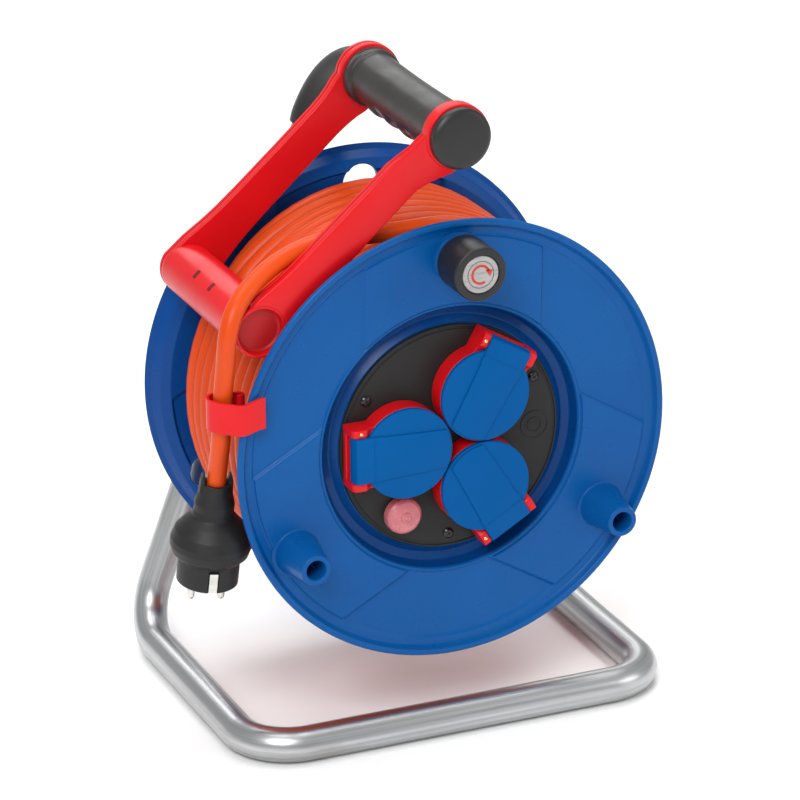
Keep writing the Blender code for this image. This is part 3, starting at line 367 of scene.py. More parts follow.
def fillet(points, closed=True, steps=5):
    """Round the corners of a 2-D outline; a point is (a, b) or (a, b, radius)."""
    result = []
    count = len(points)
    for index, point in enumerate(points):
        radius = point[2] if len(point) > 2 else 0.0
        if radius <= 0.0 or (not closed and index in (0, count - 1)):
            result.append((point[0], point[1]))
            continue
        corner = Vector(point[:2])
        before = Vector(points[index - 1][:2])
        after = Vector(points[(index + 1) % count][:2])
        incoming = corner - before
        outgoing = after - corner
        turn = incoming.angle(outgoing)
        if turn < 0.02:
            result.append((point[0], point[1]))
            continue
        reach = min(radius * math.tan(turn / 2.0), 0.49 * incoming.length, 0.49 * outgoing.length)
        start = corner - incoming.normalized() * reach
        end = corner + outgoing.normalized() * reach
        for step in range(steps + 1):
            t = step / steps
            spot = start * (1 - t) ** 2 + corner * 2 * t * (1 - t) + end * t ** 2
            result.append((spot.x, spot.y))
    return result


def refine(profile, longest):
    """Split the long edges of an open or closed outline."""
    result = []
    for index, point in enumerate(profile):
        after = profile[(index + 1) % len(profile)]
        gap = (Vector(after) - Vector(point)).length
        parts = max(1, int(math.ceil(gap / longest)))
        for part in range(parts):
            t = part / parts
            result.append((point[0] * (1 - t) + after[0] * t, point[1] * (1 - t) + after[1] * t))
    return result


def join_rows(bm, rows, wrap):
    """Skin a stack of rows; a row of one vertex is a pole."""
    pairs = list(zip(rows, rows[1:]))
    if wrap:
        pairs.append((rows[-1], rows[0]))
    for first, second in pairs:
        count = max(len(first), len(second))
        if count == 1:
            continue
        for index in range(count):
            after = (index + 1) % count
            corners = [first[0]] if len(first) == 1 else [first[index], first[after]]
            corners += [second[0]] if len(second) == 1 else [second[after], second[index]]
            bm.faces.new(corners)


def split_flats(outline, parts, level=None):
    """Split the long radial edges of a profile, all of them or those at one y, so lift can bend them."""
    result = []
    for index, point in enumerate(outline):
        after = outline[(index + 1) % len(outline)]
        result.append(point)
        y = point[1] if level is None else level
        flat = abs(point[1] - y) < 0.02 and abs(after[1] - y) < 0.02
        if flat and abs(after[0] - point[0]) > 20.0:
            for part in range(1, parts):
                result.append((point[0] + (after[0] - point[0]) * part / parts, y))
    return result


def round_row(bm, y, radii, centre=(0.0, 0.0), lift=None):
    """Ring of vertices about a line parallel to Y, one radius for each; lift may move y."""
    row = []
    for index, radius in enumerate(radii):
        angle = 2.0 * math.pi * index / len(radii)
        x = radius * math.cos(angle)
        z = radius * math.sin(angle)
        depth = y if lift is None else lift(x, y, z, radius)
        row.append(bm.verts.new((centre[0] + x, depth, centre[1] + z)))
    return row


def lathe(profile, segments=96, centre=(0.0, 0.0), lift=None, bm=None):
    """Revolve a closed (radius, y) profile about a line parallel to Y; a third number rounds."""
    bm = bm or bmesh.new()
    rows = []
    for radius, y in fillet(profile):
        count = 1 if radius < 1e-6 else segments
        rows.append(round_row(bm, y, [radius] * count, centre, lift if count > 1 else None))
    join_rows(bm, rows, wrap=True)
    return bm


def inset_outline(outline, distance):
    """Move a counter-clockwise outline inwards by a distance."""
    result = []
    for index, point in enumerate(outline):
        before = Vector(outline[index - 1])
        here = Vector(point)
        after = Vector(outline[(index + 1) % len(outline)])
        first = (here - before).normalized()
        second = (after - here).normalized()
        normal = Vector((-first.y - second.y, first.x + second.x))
        size = normal.length
        if size < 1e-6:
            result.append(tuple(here))
            continue
        normal /= size
        stretch = 1.0 / max(0.5, normal.dot(Vector((-first.y, first.x))))
        spot = here + normal * distance * min(stretch, 1.5)
        result.append((spot.x, spot.y))
    return result


def signed_area(outline):
    """Area of an outline, positive when counter-clockwise."""
    total = 0.0
    for index, (a, b) in enumerate(outline):
        c, d = outline[(index + 1) % len(outline)]
        total += a * d - c * b
    return total / 2.0


def contour_plate(outline, section, place, bm=None):
    """Stack inset copies of an outline; section lists (inset, depth) from face to face."""
    bm = bm or bmesh.new()
    outline = fillet(outline)
    if signed_area(outline) < 0.0:
        outline = outline[::-1]
    rows = []
    for inset, depth in section:
        moved = inset_outline(outline, inset)
        rows.append([bm.verts.new(place(a, b, depth)) for a, b in moved])
    join_rows(bm, rows, wrap=False)
    for row in (rows[0], rows[-1]):
        bmesh.ops.triangle_fill(
            bm, use_beauty=True, edges=[bm.edges.get((row[i - 1], row[i])) for i in range(len(row))])
    return bm


def soft_section(low, high, radius=0.8, steps=4):
    """Section of a plate with both edges rounded."""
    section = []
    for step in range(steps + 1):
        angle = math.pi / 2.0 * step / steps
        section.append((radius * (1.0 - math.sin(angle)), low + radius * (1.0 - math.cos(angle))))
    mirrored = [(inset, low + high - depth) for inset, depth in reversed(section)]
    return section + mirrored


def along_y(a, b, depth):
    """Outline in x and z, stacked along y."""
    return a, depth, b


def rectangle(low, high, half):
    """Corners of a rectangle from low to high, half to either side."""
    return [(low, -half), (high, -half), (high, half), (low, half)]


def rounded(points, radius, steps=5):
    """Closed outline with the same rounding at every corner."""
    return fillet([(a, b, radius) for a, b in points], steps=steps)


def turned(points, centre, degrees):
    """Turn plane points about the origin and carry them to the centre."""
    c = math.cos(math.radians(degrees))
    s = math.sin(math.radians(degrees))
    return [(centre[0] + a * c - b * s, centre[1] + a * s + b * c) for a, b in points]


def arc_points(centre, radius, start, end, count):
    """Points on an arc in the plane, both ends included."""
    pitch = (end - start) / (count - 1)
    return [radial_point(radius, start + pitch * index, centre) for index in range(count)]


def spin(bm, degrees):
    """Turn a bmesh about the drum axis, from x towards z."""
    bm.transform(Matrix.Rotation(-math.radians(degrees), 4, "Y"))
    return bm


def path_frames(points, hint):
    """Two unit vectors square to the path at each point, carried without twist."""
    frames = []
    last = (points[1] - points[0]).normalized()
    side = Vector(hint)
    side = (side - last * side.dot(last)).normalized()
    for index, point in enumerate(points):
        before = points[max(index - 1, 0)]
        after = points[min(index + 1, len(points) - 1)]
        ahead = (after - before).normalized()
        side = last.rotation_difference(ahead) @ side
        side = (side - ahead * side.dot(ahead)).normalized()
        last = ahead
        frames.append((point, side.copy(), ahead.cross(side)))
    return frames


def sweep(points, radius, sides, hint=(1.0, 0.0, 0.0), wobble=None):
    """Round tube along the points, with the attribute that lets materials run along it."""
    bm = bmesh.new()
    layer = bm.verts.layers.float_vector.new("run")
    rows = []
    travelled = 0.0
    last = points[0]
    for index, (point, side, up) in enumerate(path_frames(points, hint)):
        travelled += (point - last).length
        last = point
        here = radius(index) if callable(radius) else radius
        row = []
        for step in range(sides):
            angle = 2.0 * math.pi * step / sides
            reach = here if wobble is None else here + wobble(travelled, angle)
            vert = bm.verts.new(point + (side * math.cos(angle) + up * math.sin(angle)) * reach)
            spread_out = Vector((travelled, here * math.cos(angle), here * math.sin(angle)))
            vert[layer] = spread_out * MM
            row.append(vert)
        rows.append(row)
    join_rows(bm, rows, wrap=False)
    bm.faces.new(rows[0])
    bm.faces.new(rows[-1])
    return bm


def rounded_path(corners, radii, arc_steps, straight=12.0):
    """Polyline with arcs at its inner corners and extra points on its straights."""
    points = [Vector(corners[0])]
    for index, radius in enumerate(radii):
        before, corner, after = (Vector(c) for c in corners[index:index + 3])
        incoming = (corner - before).normalized()
        outgoing = (after - corner).normalized()
        turn = incoming.angle(outgoing)
        setback = radius * math.tan(turn / 2.0)
        start = corner - incoming * setback
        inward = (outgoing - incoming * incoming.dot(outgoing)).normalized()
        for step in range(arc_steps + 1):
            angle = turn * step / arc_steps
            offset = incoming * math.sin(angle) + inward * (1.0 - math.cos(angle))
            points.append(start + offset * radius)
    points.append(Vector(corners[-1]))
    dense = [points[0]]
    for first, second in zip(points, points[1:]):
        parts = max(1, int((second - first).length / straight))
        for part in range(1, parts + 1):
            dense.append(first.lerp(second, part / parts))
    return dense


def smooth_route(points, count):
    """Sample an even Catmull-Rom curve through the route points."""
    chain = [points[0] * 2 - points[1]] + points + [points[-1] * 2 - points[-2]]
    dense = []
    for index in range(1, len(chain) - 2):
        p0, p1, p2, p3 = chain[index - 1:index + 3]
        for step in range(16):
            t = step / 16.0
            dense.append(0.5 * (
                p1 * 2 + (p2 - p0) * t + (p0 * 2 - p1 * 5 + p2 * 4 - p3) * t ** 2
                + (p1 * 3 - p0 - p2 * 3 + p3) * t ** 3))
    dense.append(points[-1])
    travelled = [0.0]
    for first, second in zip(dense, dense[1:]):
        travelled.append(travelled[-1] + (second - first).length)
    route = []
    for index in range(count):
        wanted = travelled[-1] * index / (count - 1)
        spot = next(i for i, distance in enumerate(travelled) if distance >= wanted - 1e-9)
        if spot == 0:
            route.append(dense[0])
            continue
        share = (wanted - travelled[spot - 1]) / (travelled[spot] - travelled[spot - 1])
        route.append(dense[spot - 1].lerp(dense[spot], share))
    return route


# ---- cords
# winding: layer radii, turns in a layer and the room between the flanges
CORD_R = 6.0
LAYER_RADII = (100.5, 110.9, 121.3)
LAYER_TURNS = 10.1
CLIMB_TURNS = 0.35
WINDING_LOW = 16.6
WINDING_HIGH = 142.5
SWAY = 2.0
END_ANGLE = 48.0
POINTS_PER_TURN = 64
PLUG_NECK = Vector((-150.1, 22.0, -15.4))
PLUG_AXIS = Vector((-0.075, 0.10, -0.99)).normalized()
PLUG_TURN = -75.0
# degrees, radius and y where the free end leaves the winding
LEAVING = (
    (49.0, 121.3, 16.6), (58.0, 122.4, 16.6), (67.0, 125.4, 16.9), (76.0, 129.6, 18.0), (83.0, 132.6, 19.6),
)
# from the top of the winding over the guide and down to the plug
OVER_GUIDE = (
    (0.0, 21.0, 134.6), (-30.6, 21.0, 134.7), (-61.0, 21.4, 135.3), (-76.5, 21.7, 134.7),
    (-91.6, 21.4, 132.0), (-106.0, 20.0, 127.1), (-119.5, 17.1, 120.5), (-131.8, 12.3, 112.9),
    (-142.1, 5.9, 103.5), (-147.3, 3.4, 89.7), (-147.8, 5.6, 74.5), (-148.2, 8.4, 60.0),
    (-148.6, 10.8, 46.0), (-148.9, 12.2, 31.0), (-149.1, 15.0, 15.0),
)


def make_winding():
    """The wound cable: three nested layers of even turns that sway a little on the barrel."""
    points = []
    layers = len(LAYER_RADII)
    angle = math.radians(END_ANGLE) + 2.0 * math.pi * LAYER_TURNS * layers
    low = WINDING_LOW + SWAY
    high = WINDING_HIGH - SWAY
    for layer, radius in enumerate(LAYER_RADII):
        steps = int(LAYER_TURNS * POINTS_PER_TURN)
        outer = layer == layers - 1
        for step in range(steps):
            share = step / steps
            forth = share if layer % 2 == 1 else 1.0 - share
            turn = angle - 2.0 * math.pi * LAYER_TURNS * share
            climb = 0.0
            if not outer:
                rise = LAYER_RADII[layer + 1] - radius
                climb = smooth_step(1.0 - CLIMB_TURNS / LAYER_TURNS, 1.0, share) * rise
            spot = Vector((1.3 * math.cos(turn), 1.3 * math.sin(turn), step * 0.004 + layer * 5.0))
            lift = noise.noise(spot)
            wander = noise.noise(spot * 1.6 + Vector((9.0, 0.0, 3.0)))
            settle = smooth_step(0.0, 0.06, 1.0 - share) if outer else 1.0
            y = low + (high - low) * forth + SWAY * math.sin(turn - 0.6) * settle
            if outer:
                y += 0.9 * wander * settle - (1.0 - settle) * SWAY
            here = radius + climb + ((0.5 * lift - 0.35) * settle if outer else 0.0)
            points.append(Vector((here * math.cos(turn), y, here * math.sin(turn))))
        angle -= 2.0 * math.pi * LAYER_TURNS
    bm = sweep(points, CORD_R, 14, hint=(0.0, 1.0, 0.0))
    piece = emit(bm, "wound_cable", ORANGE, "drum", ("cord_winding",), 60.0)


make_winding()


def make_tail():
    """The free end: off the top of the winding, over the guide and down to the plug."""
    route = []
    for degrees, radius, y in LEAVING:
        x, z = radial_point(radius, degrees)
        route.append(Vector((x, y, z)))
    route += [Vector(p) for p in OVER_GUIDE]
    route += [PLUG_NECK + PLUG_AXIS * along for along in (-15.0, -7.0, 3.0)]
    points = smooth_route(route, 170)
    for _ in range(6):
        middle = [(a + b * 2 + c) / 4 for a, b, c in zip(points, points[1:], points[2:])]
        points = [points[0]] + middle + [points[-1]]
    bm = sweep(points, CORD_R, 28, hint=(0.0, 1.0, 0.0))
    piece = emit(bm, "free_cable", ORANGE, None, ("cord_tail",), 60.0)
    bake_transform(piece)
    return piece, [world(p) for p in points]


tail, tail_line = make_tail()


# ---- drum
# y of the flange faces, and the raised bands that run out from the hub at the spoke angles
FACE_Y = 4.0
BAND_RISE = 2.4
BAND_HALF = 59.5
REAR_BAND_RISE = 1.9
SPOKES = (89.0, 209.0, 329.0)
REAR_FACE_Y = 149.3
BAND_SOFT = 1.1
STUD_RADIUS = 120.0
WINDOW_RADIUS = 122.0
WINDOW_R = 12.4
KNOB_CENTRE = radial_point(119.5, 88.4)


def band_height(x, z, radius, half, inner, outer):
    """1 on the three raised bands of a flange, 0 between them, with soft straight edges."""
    best = 0.0
    for degrees in SPOKES:
        angle = math.radians(degrees)
        along = x * math.cos(angle) + z * math.sin(angle)
        side = abs(z * math.cos(angle) - x * math.sin(angle))
        if along > 0.0:
            best = max(best, 1.0 - smooth_step(half - BAND_SOFT, half + BAND_SOFT, side))
    starts = smooth_step(inner - 0.3, inner + 0.9, radius)
    ends = smooth_step(outer - 0.8, outer + 0.8, radius)
    return best * starts * (1.0 - ends)


def front_lift(x, y, z, radius):
    """Raise the face of the front flange on its bands."""
    if y > FACE_Y + 0.01 or radius < 88.4 or radius > 134.5:
        return y
    return y - BAND_RISE * band_height(x, z, radius, BAND_HALF, 89.0, 132.6)


def make_front_flange():
    """Front drum side: funnel, lip, bands, shoulder and rolled rim."""
    outline = fillet([
        (74.6, 8.8), (79.2, 12.6, 1.6), (84.4, 11.2, 2.2), (86.6, 3.9, 1.6), (87.4, 2.5, 0.9),
        (88.6, 2.5, 0.7), (89.4, FACE_Y, 1.0), (132.2, FACE_Y, 1.6), (134.0, 2.6, 1.0), (138.0, 2.3, 1.4),
        (139.2, 0.4, 0.8), (140.4, -1.9, 1.2), (143.4, -2.2, 1.6), (145.0, 0.2, 1.2), (140.6, 1.9, 1.5),
        (132.6, 6.5, 2.0), (89.6, 6.5, 1.0), (87.2, 15.1, 1.0), (77.0, 15.1), (77.0, 24.0, 1.0),
        (66.0, 24.0, 1.0), (66.0, 9.5), (74.6, 9.5),
    ])
    bm = lathe(split_flats(outline, 34, FACE_Y), 900, lift=front_lift)
    # the groove faces between lip and panel take the darker blue as painted shade
    for face in bm.faces:
        middle = face.calc_center_median()
        groove_shade_faces = middle.y > 4.6 and 74.0 < math.hypot(middle.x, middle.z) < 87.0
        face.material_index = 1 if groove_shade_faces else 0
    side = emit(bm, "front_drum_side", DRUM_BLUE, "drum", ("front_flange",), 40.0)
    side.data.materials.append(GROOVE_SHADE_BLUE)


def make_studs():
    """Two locating studs with ribs in their mouths, and the boss of the knob."""
    face = FACE_Y - BAND_RISE
    stud = [
        (0.0, 6.0), (17.0, 6.0), (17.0, face + 0.1), (14.6, face - 0.1, 2.2), (9.7, -29.9, 1.0),
        (6.6, -29.9, 0.9), (6.0, -27.0, 0.6), (5.6, -6.0), (2.6, -5.8), (2.6, -4.0), (0.0, -4.0),
    ]
    for number, degrees in enumerate(SPOKES[1:], start=1):
        centre = radial_point(STUD_RADIUS, degrees)
        emit(lathe(stud, 96, centre), f"stud_{number}", DRUM_BLUE, "drum")
        for turn in range(4):
            rib = turned(rectangle(2.4, 5.8, 0.6), centre, 45.0 + 90.0 * turn)
            emit(contour_plate(rib, [(0.0, -5.0), (0.0, -16.5), (0.15, -16.8)], along_y),
                 f"stud_rib_{number}_{turn + 1}", DRUM_BLUE, "drum")
    boss = [
        (0.0, 4.0), (16.0, 4.0), (16.0, 1.7, 0.2), (13.6, 1.2, 1.0), (13.0, -5.0, 0.6), (0.0, -5.0),
    ]
    emit(lathe(boss, 96, KNOB_CENTRE), "knob_boss", DRUM_BLUE, "drum")


def rear_lift(x, y, z, radius):
    """Sink the bands on the inner side of the rear flange and raise them behind."""
    if radius > 131.4 or radius < 60.0:
        return y
    return y + REAR_BAND_RISE * band_height(x, z, radius, BAND_HALF - 2.0, 60.0, 129.8)


def punch_window(side, name, centre):
    """Cut one round window through the rear drum side."""
    drill = [(0.0, 140.0), (WINDOW_R, 140.0), (WINDOW_R, 170.0), (0.0, 170.0)]
    tool = add_object(name, placed_mesh(lathe(drill, 72, centre), name))
    hole = side.modifiers.new(name, "BOOLEAN")
    hole.operation = "DIFFERENCE"
    hole.solver = "EXACT"
    hole.object = tool
    bpy.context.view_layer.update()
    evaluated = side.evaluated_get(bpy.context.evaluated_depsgraph_get())
    side_mesh = bpy.data.meshes.new_from_object(evaluated)
    side.modifiers.clear()
    side.data = side_mesh
    bpy.data.objects.remove(tool, do_unlink=True)


def make_rear_flange():
    """Rear drum side: bands, rolled rim and three round windows with their rims."""
    back = REAR_FACE_Y + 2.5
    outline = fillet([
        (24.6, REAR_FACE_Y), (131.4, REAR_FACE_Y, 2.0), (137.4, 152.6, 3.0), (141.4, 159.0, 2.0),
        (145.0, 161.2, 0.8), (144.2, 162.4, 0.8), (141.0, 161.9, 1.5), (135.2, 155.4, 2.5),
        (129.6, back, 2.0), (30.0, back), (30.0, 160.0, 0.8), (24.6, 160.0),
    ])
    bm = lathe(split_flats(outline, 60), 720, lift=rear_lift)
    side = emit(bm, "rear_drum_side", REAR_SHADE_BLUE, "drum", ("rear_flange",), 40.0)
    centres = [radial_point(WINDOW_RADIUS, degrees) for degrees in SPOKES]
    for number, centre in enumerate(centres):
        punch_window(side, f"window_punch_{number}", centre)
    side.data.shade_smooth()
    side.data.set_sharp_from_angle(angle=math.radians(40.0))
    rim = [(12.3, 150.6), (13.6, 150.6, 0.5), (13.6, 155.4, 0.7), (12.3, 155.4, 0.5)]
    for number, centre in enumerate(centres, start=1):
        emit(lathe(rim, 72, centre), f"window_rim_{number}", REAR_SHADE_BLUE, "drum")


make_front_flange()
make_studs()
make_rear_flange()


# ---- outlets
# built at angle zero, where radius runs along x, then turned to their place
PANEL_Y = 6.2
OUTLET_ANGLES = (180.0, 60.0, -60.0)
OUTLET_RADIUS = 34.8
LID_FRONT_Y = -10.6
HINGE_RADIUS = 66.3
HINGE_Y = -4.6
RESET_CENTRE = radial_point(57.0, -125.5)
# which ear of each collar shows the end of its hinge pin
PIN_SIDES = {1: -1, 2: 1, 3: -1}
PANEL_R = 73.8
PANEL_RING_CENTRE = radial_point(58.0, -1.4)
PANEL_RINGS = ((8.6, 9.5), (4.2, 5.0))
SCREW_SPOTS = ((65.0, 150.0), (65.0, 28.5), (65.0, 269.0))
SCREW_R = 3.5
LID_R = 29.6
LID_HALF = 14.9
COLLAR_GAP = 42.0


def make_panel():
    """Outlet panel with its edge bead and two plain embossed rings."""
    outline = arc_points((0.0, 0.0), PANEL_R, 0.0, 358.0, 180)
    back = PANEL_Y + 3.0
    bead = PANEL_Y + 0.7
    section = [
        (14.0, back), (0.4, back), (0.0, PANEL_Y + 2.6), (0.0, PANEL_Y + 0.5), (0.4, PANEL_Y),
        (1.2, PANEL_Y), (1.5, bead), (2.7, bead), (3.1, PANEL_Y), (14.0, PANEL_Y),
    ]
    plate = contour_plate(outline, section, along_y)
    emit(plate, "panel_face", PANEL_BLACK, "drum", ("outlet_panel",))
    low = PANEL_Y + 0.2
    high = PANEL_Y - 0.35
    for number, (inner, outer) in enumerate(PANEL_RINGS, start=1):
        ring = [(inner, low), (inner, high, 0.2), (outer, high, 0.2), (outer, low)]
        emit(lathe(ring, 72, PANEL_RING_CENTRE), f"panel_ring_{number}", PANEL_BLACK, "drum")


def make_panel_screw(number, centre):
    """Pan head screw with a cross recess."""
    name = f"panel_screw_head_{number}"
    seat = PANEL_Y - 0.2
    top = seat - 1.5
    profile = [
        (0.0, top), (SCREW_R * 0.62, top, 0.7), (SCREW_R, seat - 0.5, 0.4), (SCREW_R, seat), (0.0, seat),
    ]
    emit(lathe(profile, 48, centre), name, SCREW_BLACK, "drum", (f"panel_screw_{number}",))
    reach = SCREW_R * 0.55
    for count, degrees in enumerate((32.0, 122.0), start=1):
        bar = turned(rectangle(-reach, reach, 0.36), centre, degrees)
        emit(contour_plate(bar, [(0.0, seat - 1.0), (0.0, seat - 1.53)], along_y),
             f"{name}_cross_{count}", SOCKET_BLACK, "drum")


def make_reset():
    """Soft cover of the reset button with a small ring on it."""
    boot = [
        (0.0, -2.7), (2.9, -2.6, 0.6), (3.6, -1.5, 0.6), (9.8, -0.8, 1.4), (11.6, 0.8, 1.6),
        (12.0, 5.9, 0.3), (9.4, 5.9), (9.4, 2.6), (7.6, 0.8), (5.4, 0.2), (3.2, -1.3), (0.0, -1.6),
    ]
    emit(lathe(boot, 72, RESET_CENTRE), "reset_boot", PINK, "drum", ("reset_cover",))
    ring = [(1.5, -2.5), (1.5, -2.95, 0.15), (2.0, -2.95, 0.15), (2.0, -2.5)]
    emit(lathe(ring, 48, RESET_CENTRE), "reset_boot_ring", PINK, "drum")


def as_drawn(a, b, depth):
    """Outline drawn in radius and y, stacked along the hinge of the outlet at angle zero."""
    return a, b, depth


def make_lid(number, degrees):
    """Blue lid: satin disc, raised strap that runs into the hinge block, and a rib across it."""
    body = f"lid_{number}"
    rear = LID_FRONT_Y + 3.4
    spigot = rear + 3.2
    disc = [
        (0.0, LID_FRONT_Y), (LID_R, LID_FRONT_Y, 1.0), (LID_R, rear, 0.4), (22.6, rear), (22.6, spigot, 0.4),
        (0.0, spigot),
    ]
    bm = lathe(disc, 120, (OUTLET_RADIUS, 0.0))
    front = LID_FRONT_Y - 1.1
    block = [
        (52.5, front + 0.02), (HINGE_RADIUS + 3.4, front, 1.6), (71.2, HINGE_Y - 2.0, 2.0),
        (71.2, HINGE_Y + 1.6, 2.0), (HINGE_RADIUS, HINGE_Y + 4.9, 2.6),
        (HINGE_RADIUS - 4.4, HINGE_Y + 3.4, 2.0), (61.3, rear, 0.8), (52.5, rear - 0.2),
    ]
    contour_plate(block, soft_section(-LID_HALF, LID_HALF, 0.5, 3), as_drawn, bm)
    strap = arc_points((OUTLET_RADIUS, 0.0), LID_R - 1.3, 154.0, 206.0, 24)
    strap += [(HINGE_RADIUS + 1.0, -LID_HALF), (HINGE_RADIUS + 1.0, LID_HALF)]
    strap_section = [(0.0, LID_FRONT_Y + 1.0), (0.0, front + 0.35), (0.12, front + 0.1), (0.4, front)]
    contour_plate(strap, strap_section, along_y, bm)
    spin(bm, degrees)
    emit(bm, f"lid_{number}_shell", LID_BLUE, body, (f"lid_{number}",), 32.0)
    rib_section = [(0.0, front + 0.3), (0.0, front - 0.16), (0.12, front - 0.26)]
    rib = spin(contour_plate(rectangle(57.6, 58.3, LID_HALF - 0.4), rib_section, along_y), degrees)
    emit(rib, f"lid_{number}_line", LID_BLUE, body)


def make_collar(number, degrees):
    """Red collar: round wall, hinge ears with the end of the hinge pin, and base."""
    low = LID_FRONT_Y + 3.7
    high = PANEL_Y - 0.3
    wall = fillet([(23.3, high), (23.3, low, 0.4), (29.5, low, 0.6), (29.5, high)])
    bm = bmesh.new()
    rows = []
    for radius, y in refine(wall, 3.0):
        arc = arc_points((OUTLET_RADIUS, 0.0), radius, COLLAR_GAP, 360.0 - COLLAR_GAP, 121)
        rows.append([bm.verts.new((x, y, z)) for x, z in arc])
    for first, second in zip(rows, rows[1:] + rows[:1]):
        for index in range(len(first) - 1):
            bm.faces.new((first[index], first[index + 1], second[index + 1], second[index]))
    for end in (0, -1):
        bm.faces.new([row[end] for row in rows])
    ear = [
        (52.0, high), (52.0, low + 0.2, 0.6), (58.9, low + 0.2, 2.0), (60.9, -8.0, 1.6), (62.6, -10.1, 2.4),
        (70.0, -10.1, 2.6), (71.8, -7.0, 2.4), (71.8, high),
    ]
    for side in (-1, 1):
        near, far = sorted((side * 15.2, side * 20.2))
        contour_plate(ear, soft_section(near, far, 0.5, 3), as_drawn, bm)
    base = rounded(rectangle(59.8, 71.6, 20.0), 0.8)
    contour_plate(base, [(0.0, high), (0.0, HINGE_Y + 7.0), (0.5, HINGE_Y + 6.4)], along_y, bm)
    spin(bm, degrees)
    emit(bm, f"collar_{number}_shell", RED, "drum", (f"outlet_collar_{number}",), 35.0)
    side = PIN_SIDES[number]
    rivet = [(0.0, -10.6), (0.8, -10.5, 0.3), (1.3, -10.0), (1.3, -9.6), (0.0, -9.6)]
    head = spin(lathe(rivet, 32, (66.0, side * 17.7)), degrees)
    emit(head, f"collar_{number}_pin_end", BRASS, "drum")


make_panel()
for count, (radius, degrees) in enumerate(SCREW_SPOTS, start=1):
    make_panel_screw(count, radial_point(radius, degrees))
make_reset()
for count, degrees in enumerate(OUTLET_ANGLES, start=1):
    make_lid(count, degrees)
    make_collar(count, degrees)


# ---- knob
FOIL_Y = -33.6


def make_knob():
    """Crank knob with its dished rim and the foil sticker with a turning arrow."""
    body = "crank_knob"
    centre = KNOB_CENTRE
    profile = [
        (0.0, -33.0), (12.2, -33.0), (12.7, -34.0, 0.4), (16.4, -34.0, 1.2), (17.2, -32.6, 0.6),
        (17.2, -7.0, 0.6), (16.4, -5.6, 0.6), (4.4, -5.6), (4.4, -24.6), (0.0, -24.6),
    ]
    emit(lathe(profile, 120, centre), "knob_shell", BLACK, body, ("crank_knob",))
    face = [(0.0, FOIL_Y), (11.6, FOIL_Y, 0.2), (11.9, -33.2), (0.0, -33.2)]
    emit(lathe(face, 96, centre), "knob_foil", LABEL, body, ("knob_label",))
    ring = [(8.3, FOIL_Y), (8.3, -33.66), (8.8, -33.66), (8.8, FOIL_Y)]
    emit(lathe(ring, 72, centre), "knob_foil_ring", INK_GREY, body)
    ink = [(0.0, FOIL_Y), (0.0, -33.67)]
    arc = arc_points(centre, 6.4, 20.0, 300.0, 40) + arc_points(centre, 4.8, 300.0, 20.0, 40)
    emit(contour_plate(arc, ink, along_y), "knob_foil_arrow", INK_RED, body)
    x, z = radial_point(5.6, 12.0)
    tip = [(centre[0] + x + a, centre[1] + z + b) for a, b in ((-2.6, 1.6), (2.6, 1.2), (0.6, -2.9))]
    emit(contour_plate(tip, ink, along_y), "knob_foil_tip", INK_RED, body)


make_knob()


# ---- frame
HANDLE_Z = 200.0
TUBE_R = 11.2
TOP_BEND_R = 48.0
CAP_R = 19.3
CAP_FACE = -16.3
BASE_HALF = 138.8
BASE_Z = -AXLE_HEIGHT + TUBE_R * math.cos(math.pi / 12)
FOOT_BEND_R = 34.0
BASE_FRONT_Y = -11.3
RIGHT_END_Z = 34.0
COVER_R = 13.8
LEG_TOP = Vector((0.0, 187.0, HANDLE_Z))
LEFT_REAR = Vector((-BASE_HALF, 200.0, BASE_Z))
RIGHT_REAR = Vector((BASE_HALF, 200.0, BASE_Z))


def make_frame():
    """Bent tube and the black cover on its upper bend."""
    share = (RIGHT_END_Z - BASE_Z) / (HANDLE_Z - BASE_Z)
    corners = [
        (0.0, -7.0, HANDLE_Z), LEG_TOP, LEFT_REAR, (-BASE_HALF, BASE_FRONT_Y, BASE_Z),
        (BASE_HALF, BASE_FRONT_Y, BASE_Z), RIGHT_REAR, RIGHT_REAR.lerp(LEG_TOP, share),
    ]
    path = rounded_path(corners, [TOP_BEND_R] + [FOOT_BEND_R] * 4, 16)

    def creases(travelled, angle):
        spot = (travelled * 0.05, 1.4 * math.cos(angle), 1.4 * math.sin(angle))
        return 0.10 * noise.noise(Vector(spot))

    tube = sweep(path, TUBE_R, 48, wobble=creases)
    emit(tube, "bent_tube", TUBE_STEEL, "frame", ("tube_frame",), 60.0)

    leg_point = LEG_TOP + (LEFT_REAR - LEG_TOP).normalized() * 52.0
    cover_path = rounded_path([(0.0, 138.3, HANDLE_Z), LEG_TOP, leg_point], [TOP_BEND_R], 20, 6.0)

    def cover_radius(index):
        return COVER_R - 0.6 if index in (0, len(cover_path) - 1) else COVER_R

    cover = sweep(cover_path, cover_radius, 56)
    emit(cover, "elbow_sleeve", BLACK, "frame", ("elbow_cover",), 50.0)


LOBES_FROM = 14.0
LOBE_PITCH = 24.0


def grip_radius(y, angle):
    """Outer radius of the grip: slim waist, four finger lobes underneath."""
    waist = 17.0 - 0.9 * math.sin(math.pi * (y - 1.0) / 122.0)
    lobes = 0.0
    if LOBES_FROM < y < LOBES_FROM + 4 * LOBE_PITCH:
        lobes = 0.5 - 0.5 * math.cos(2.0 * math.pi * (y - LOBES_FROM) / LOBE_PITCH)
    under = max(0.0, -math.sin(angle)) ** 2
    return waist + 3.0 * lobes ** 0.8 * under


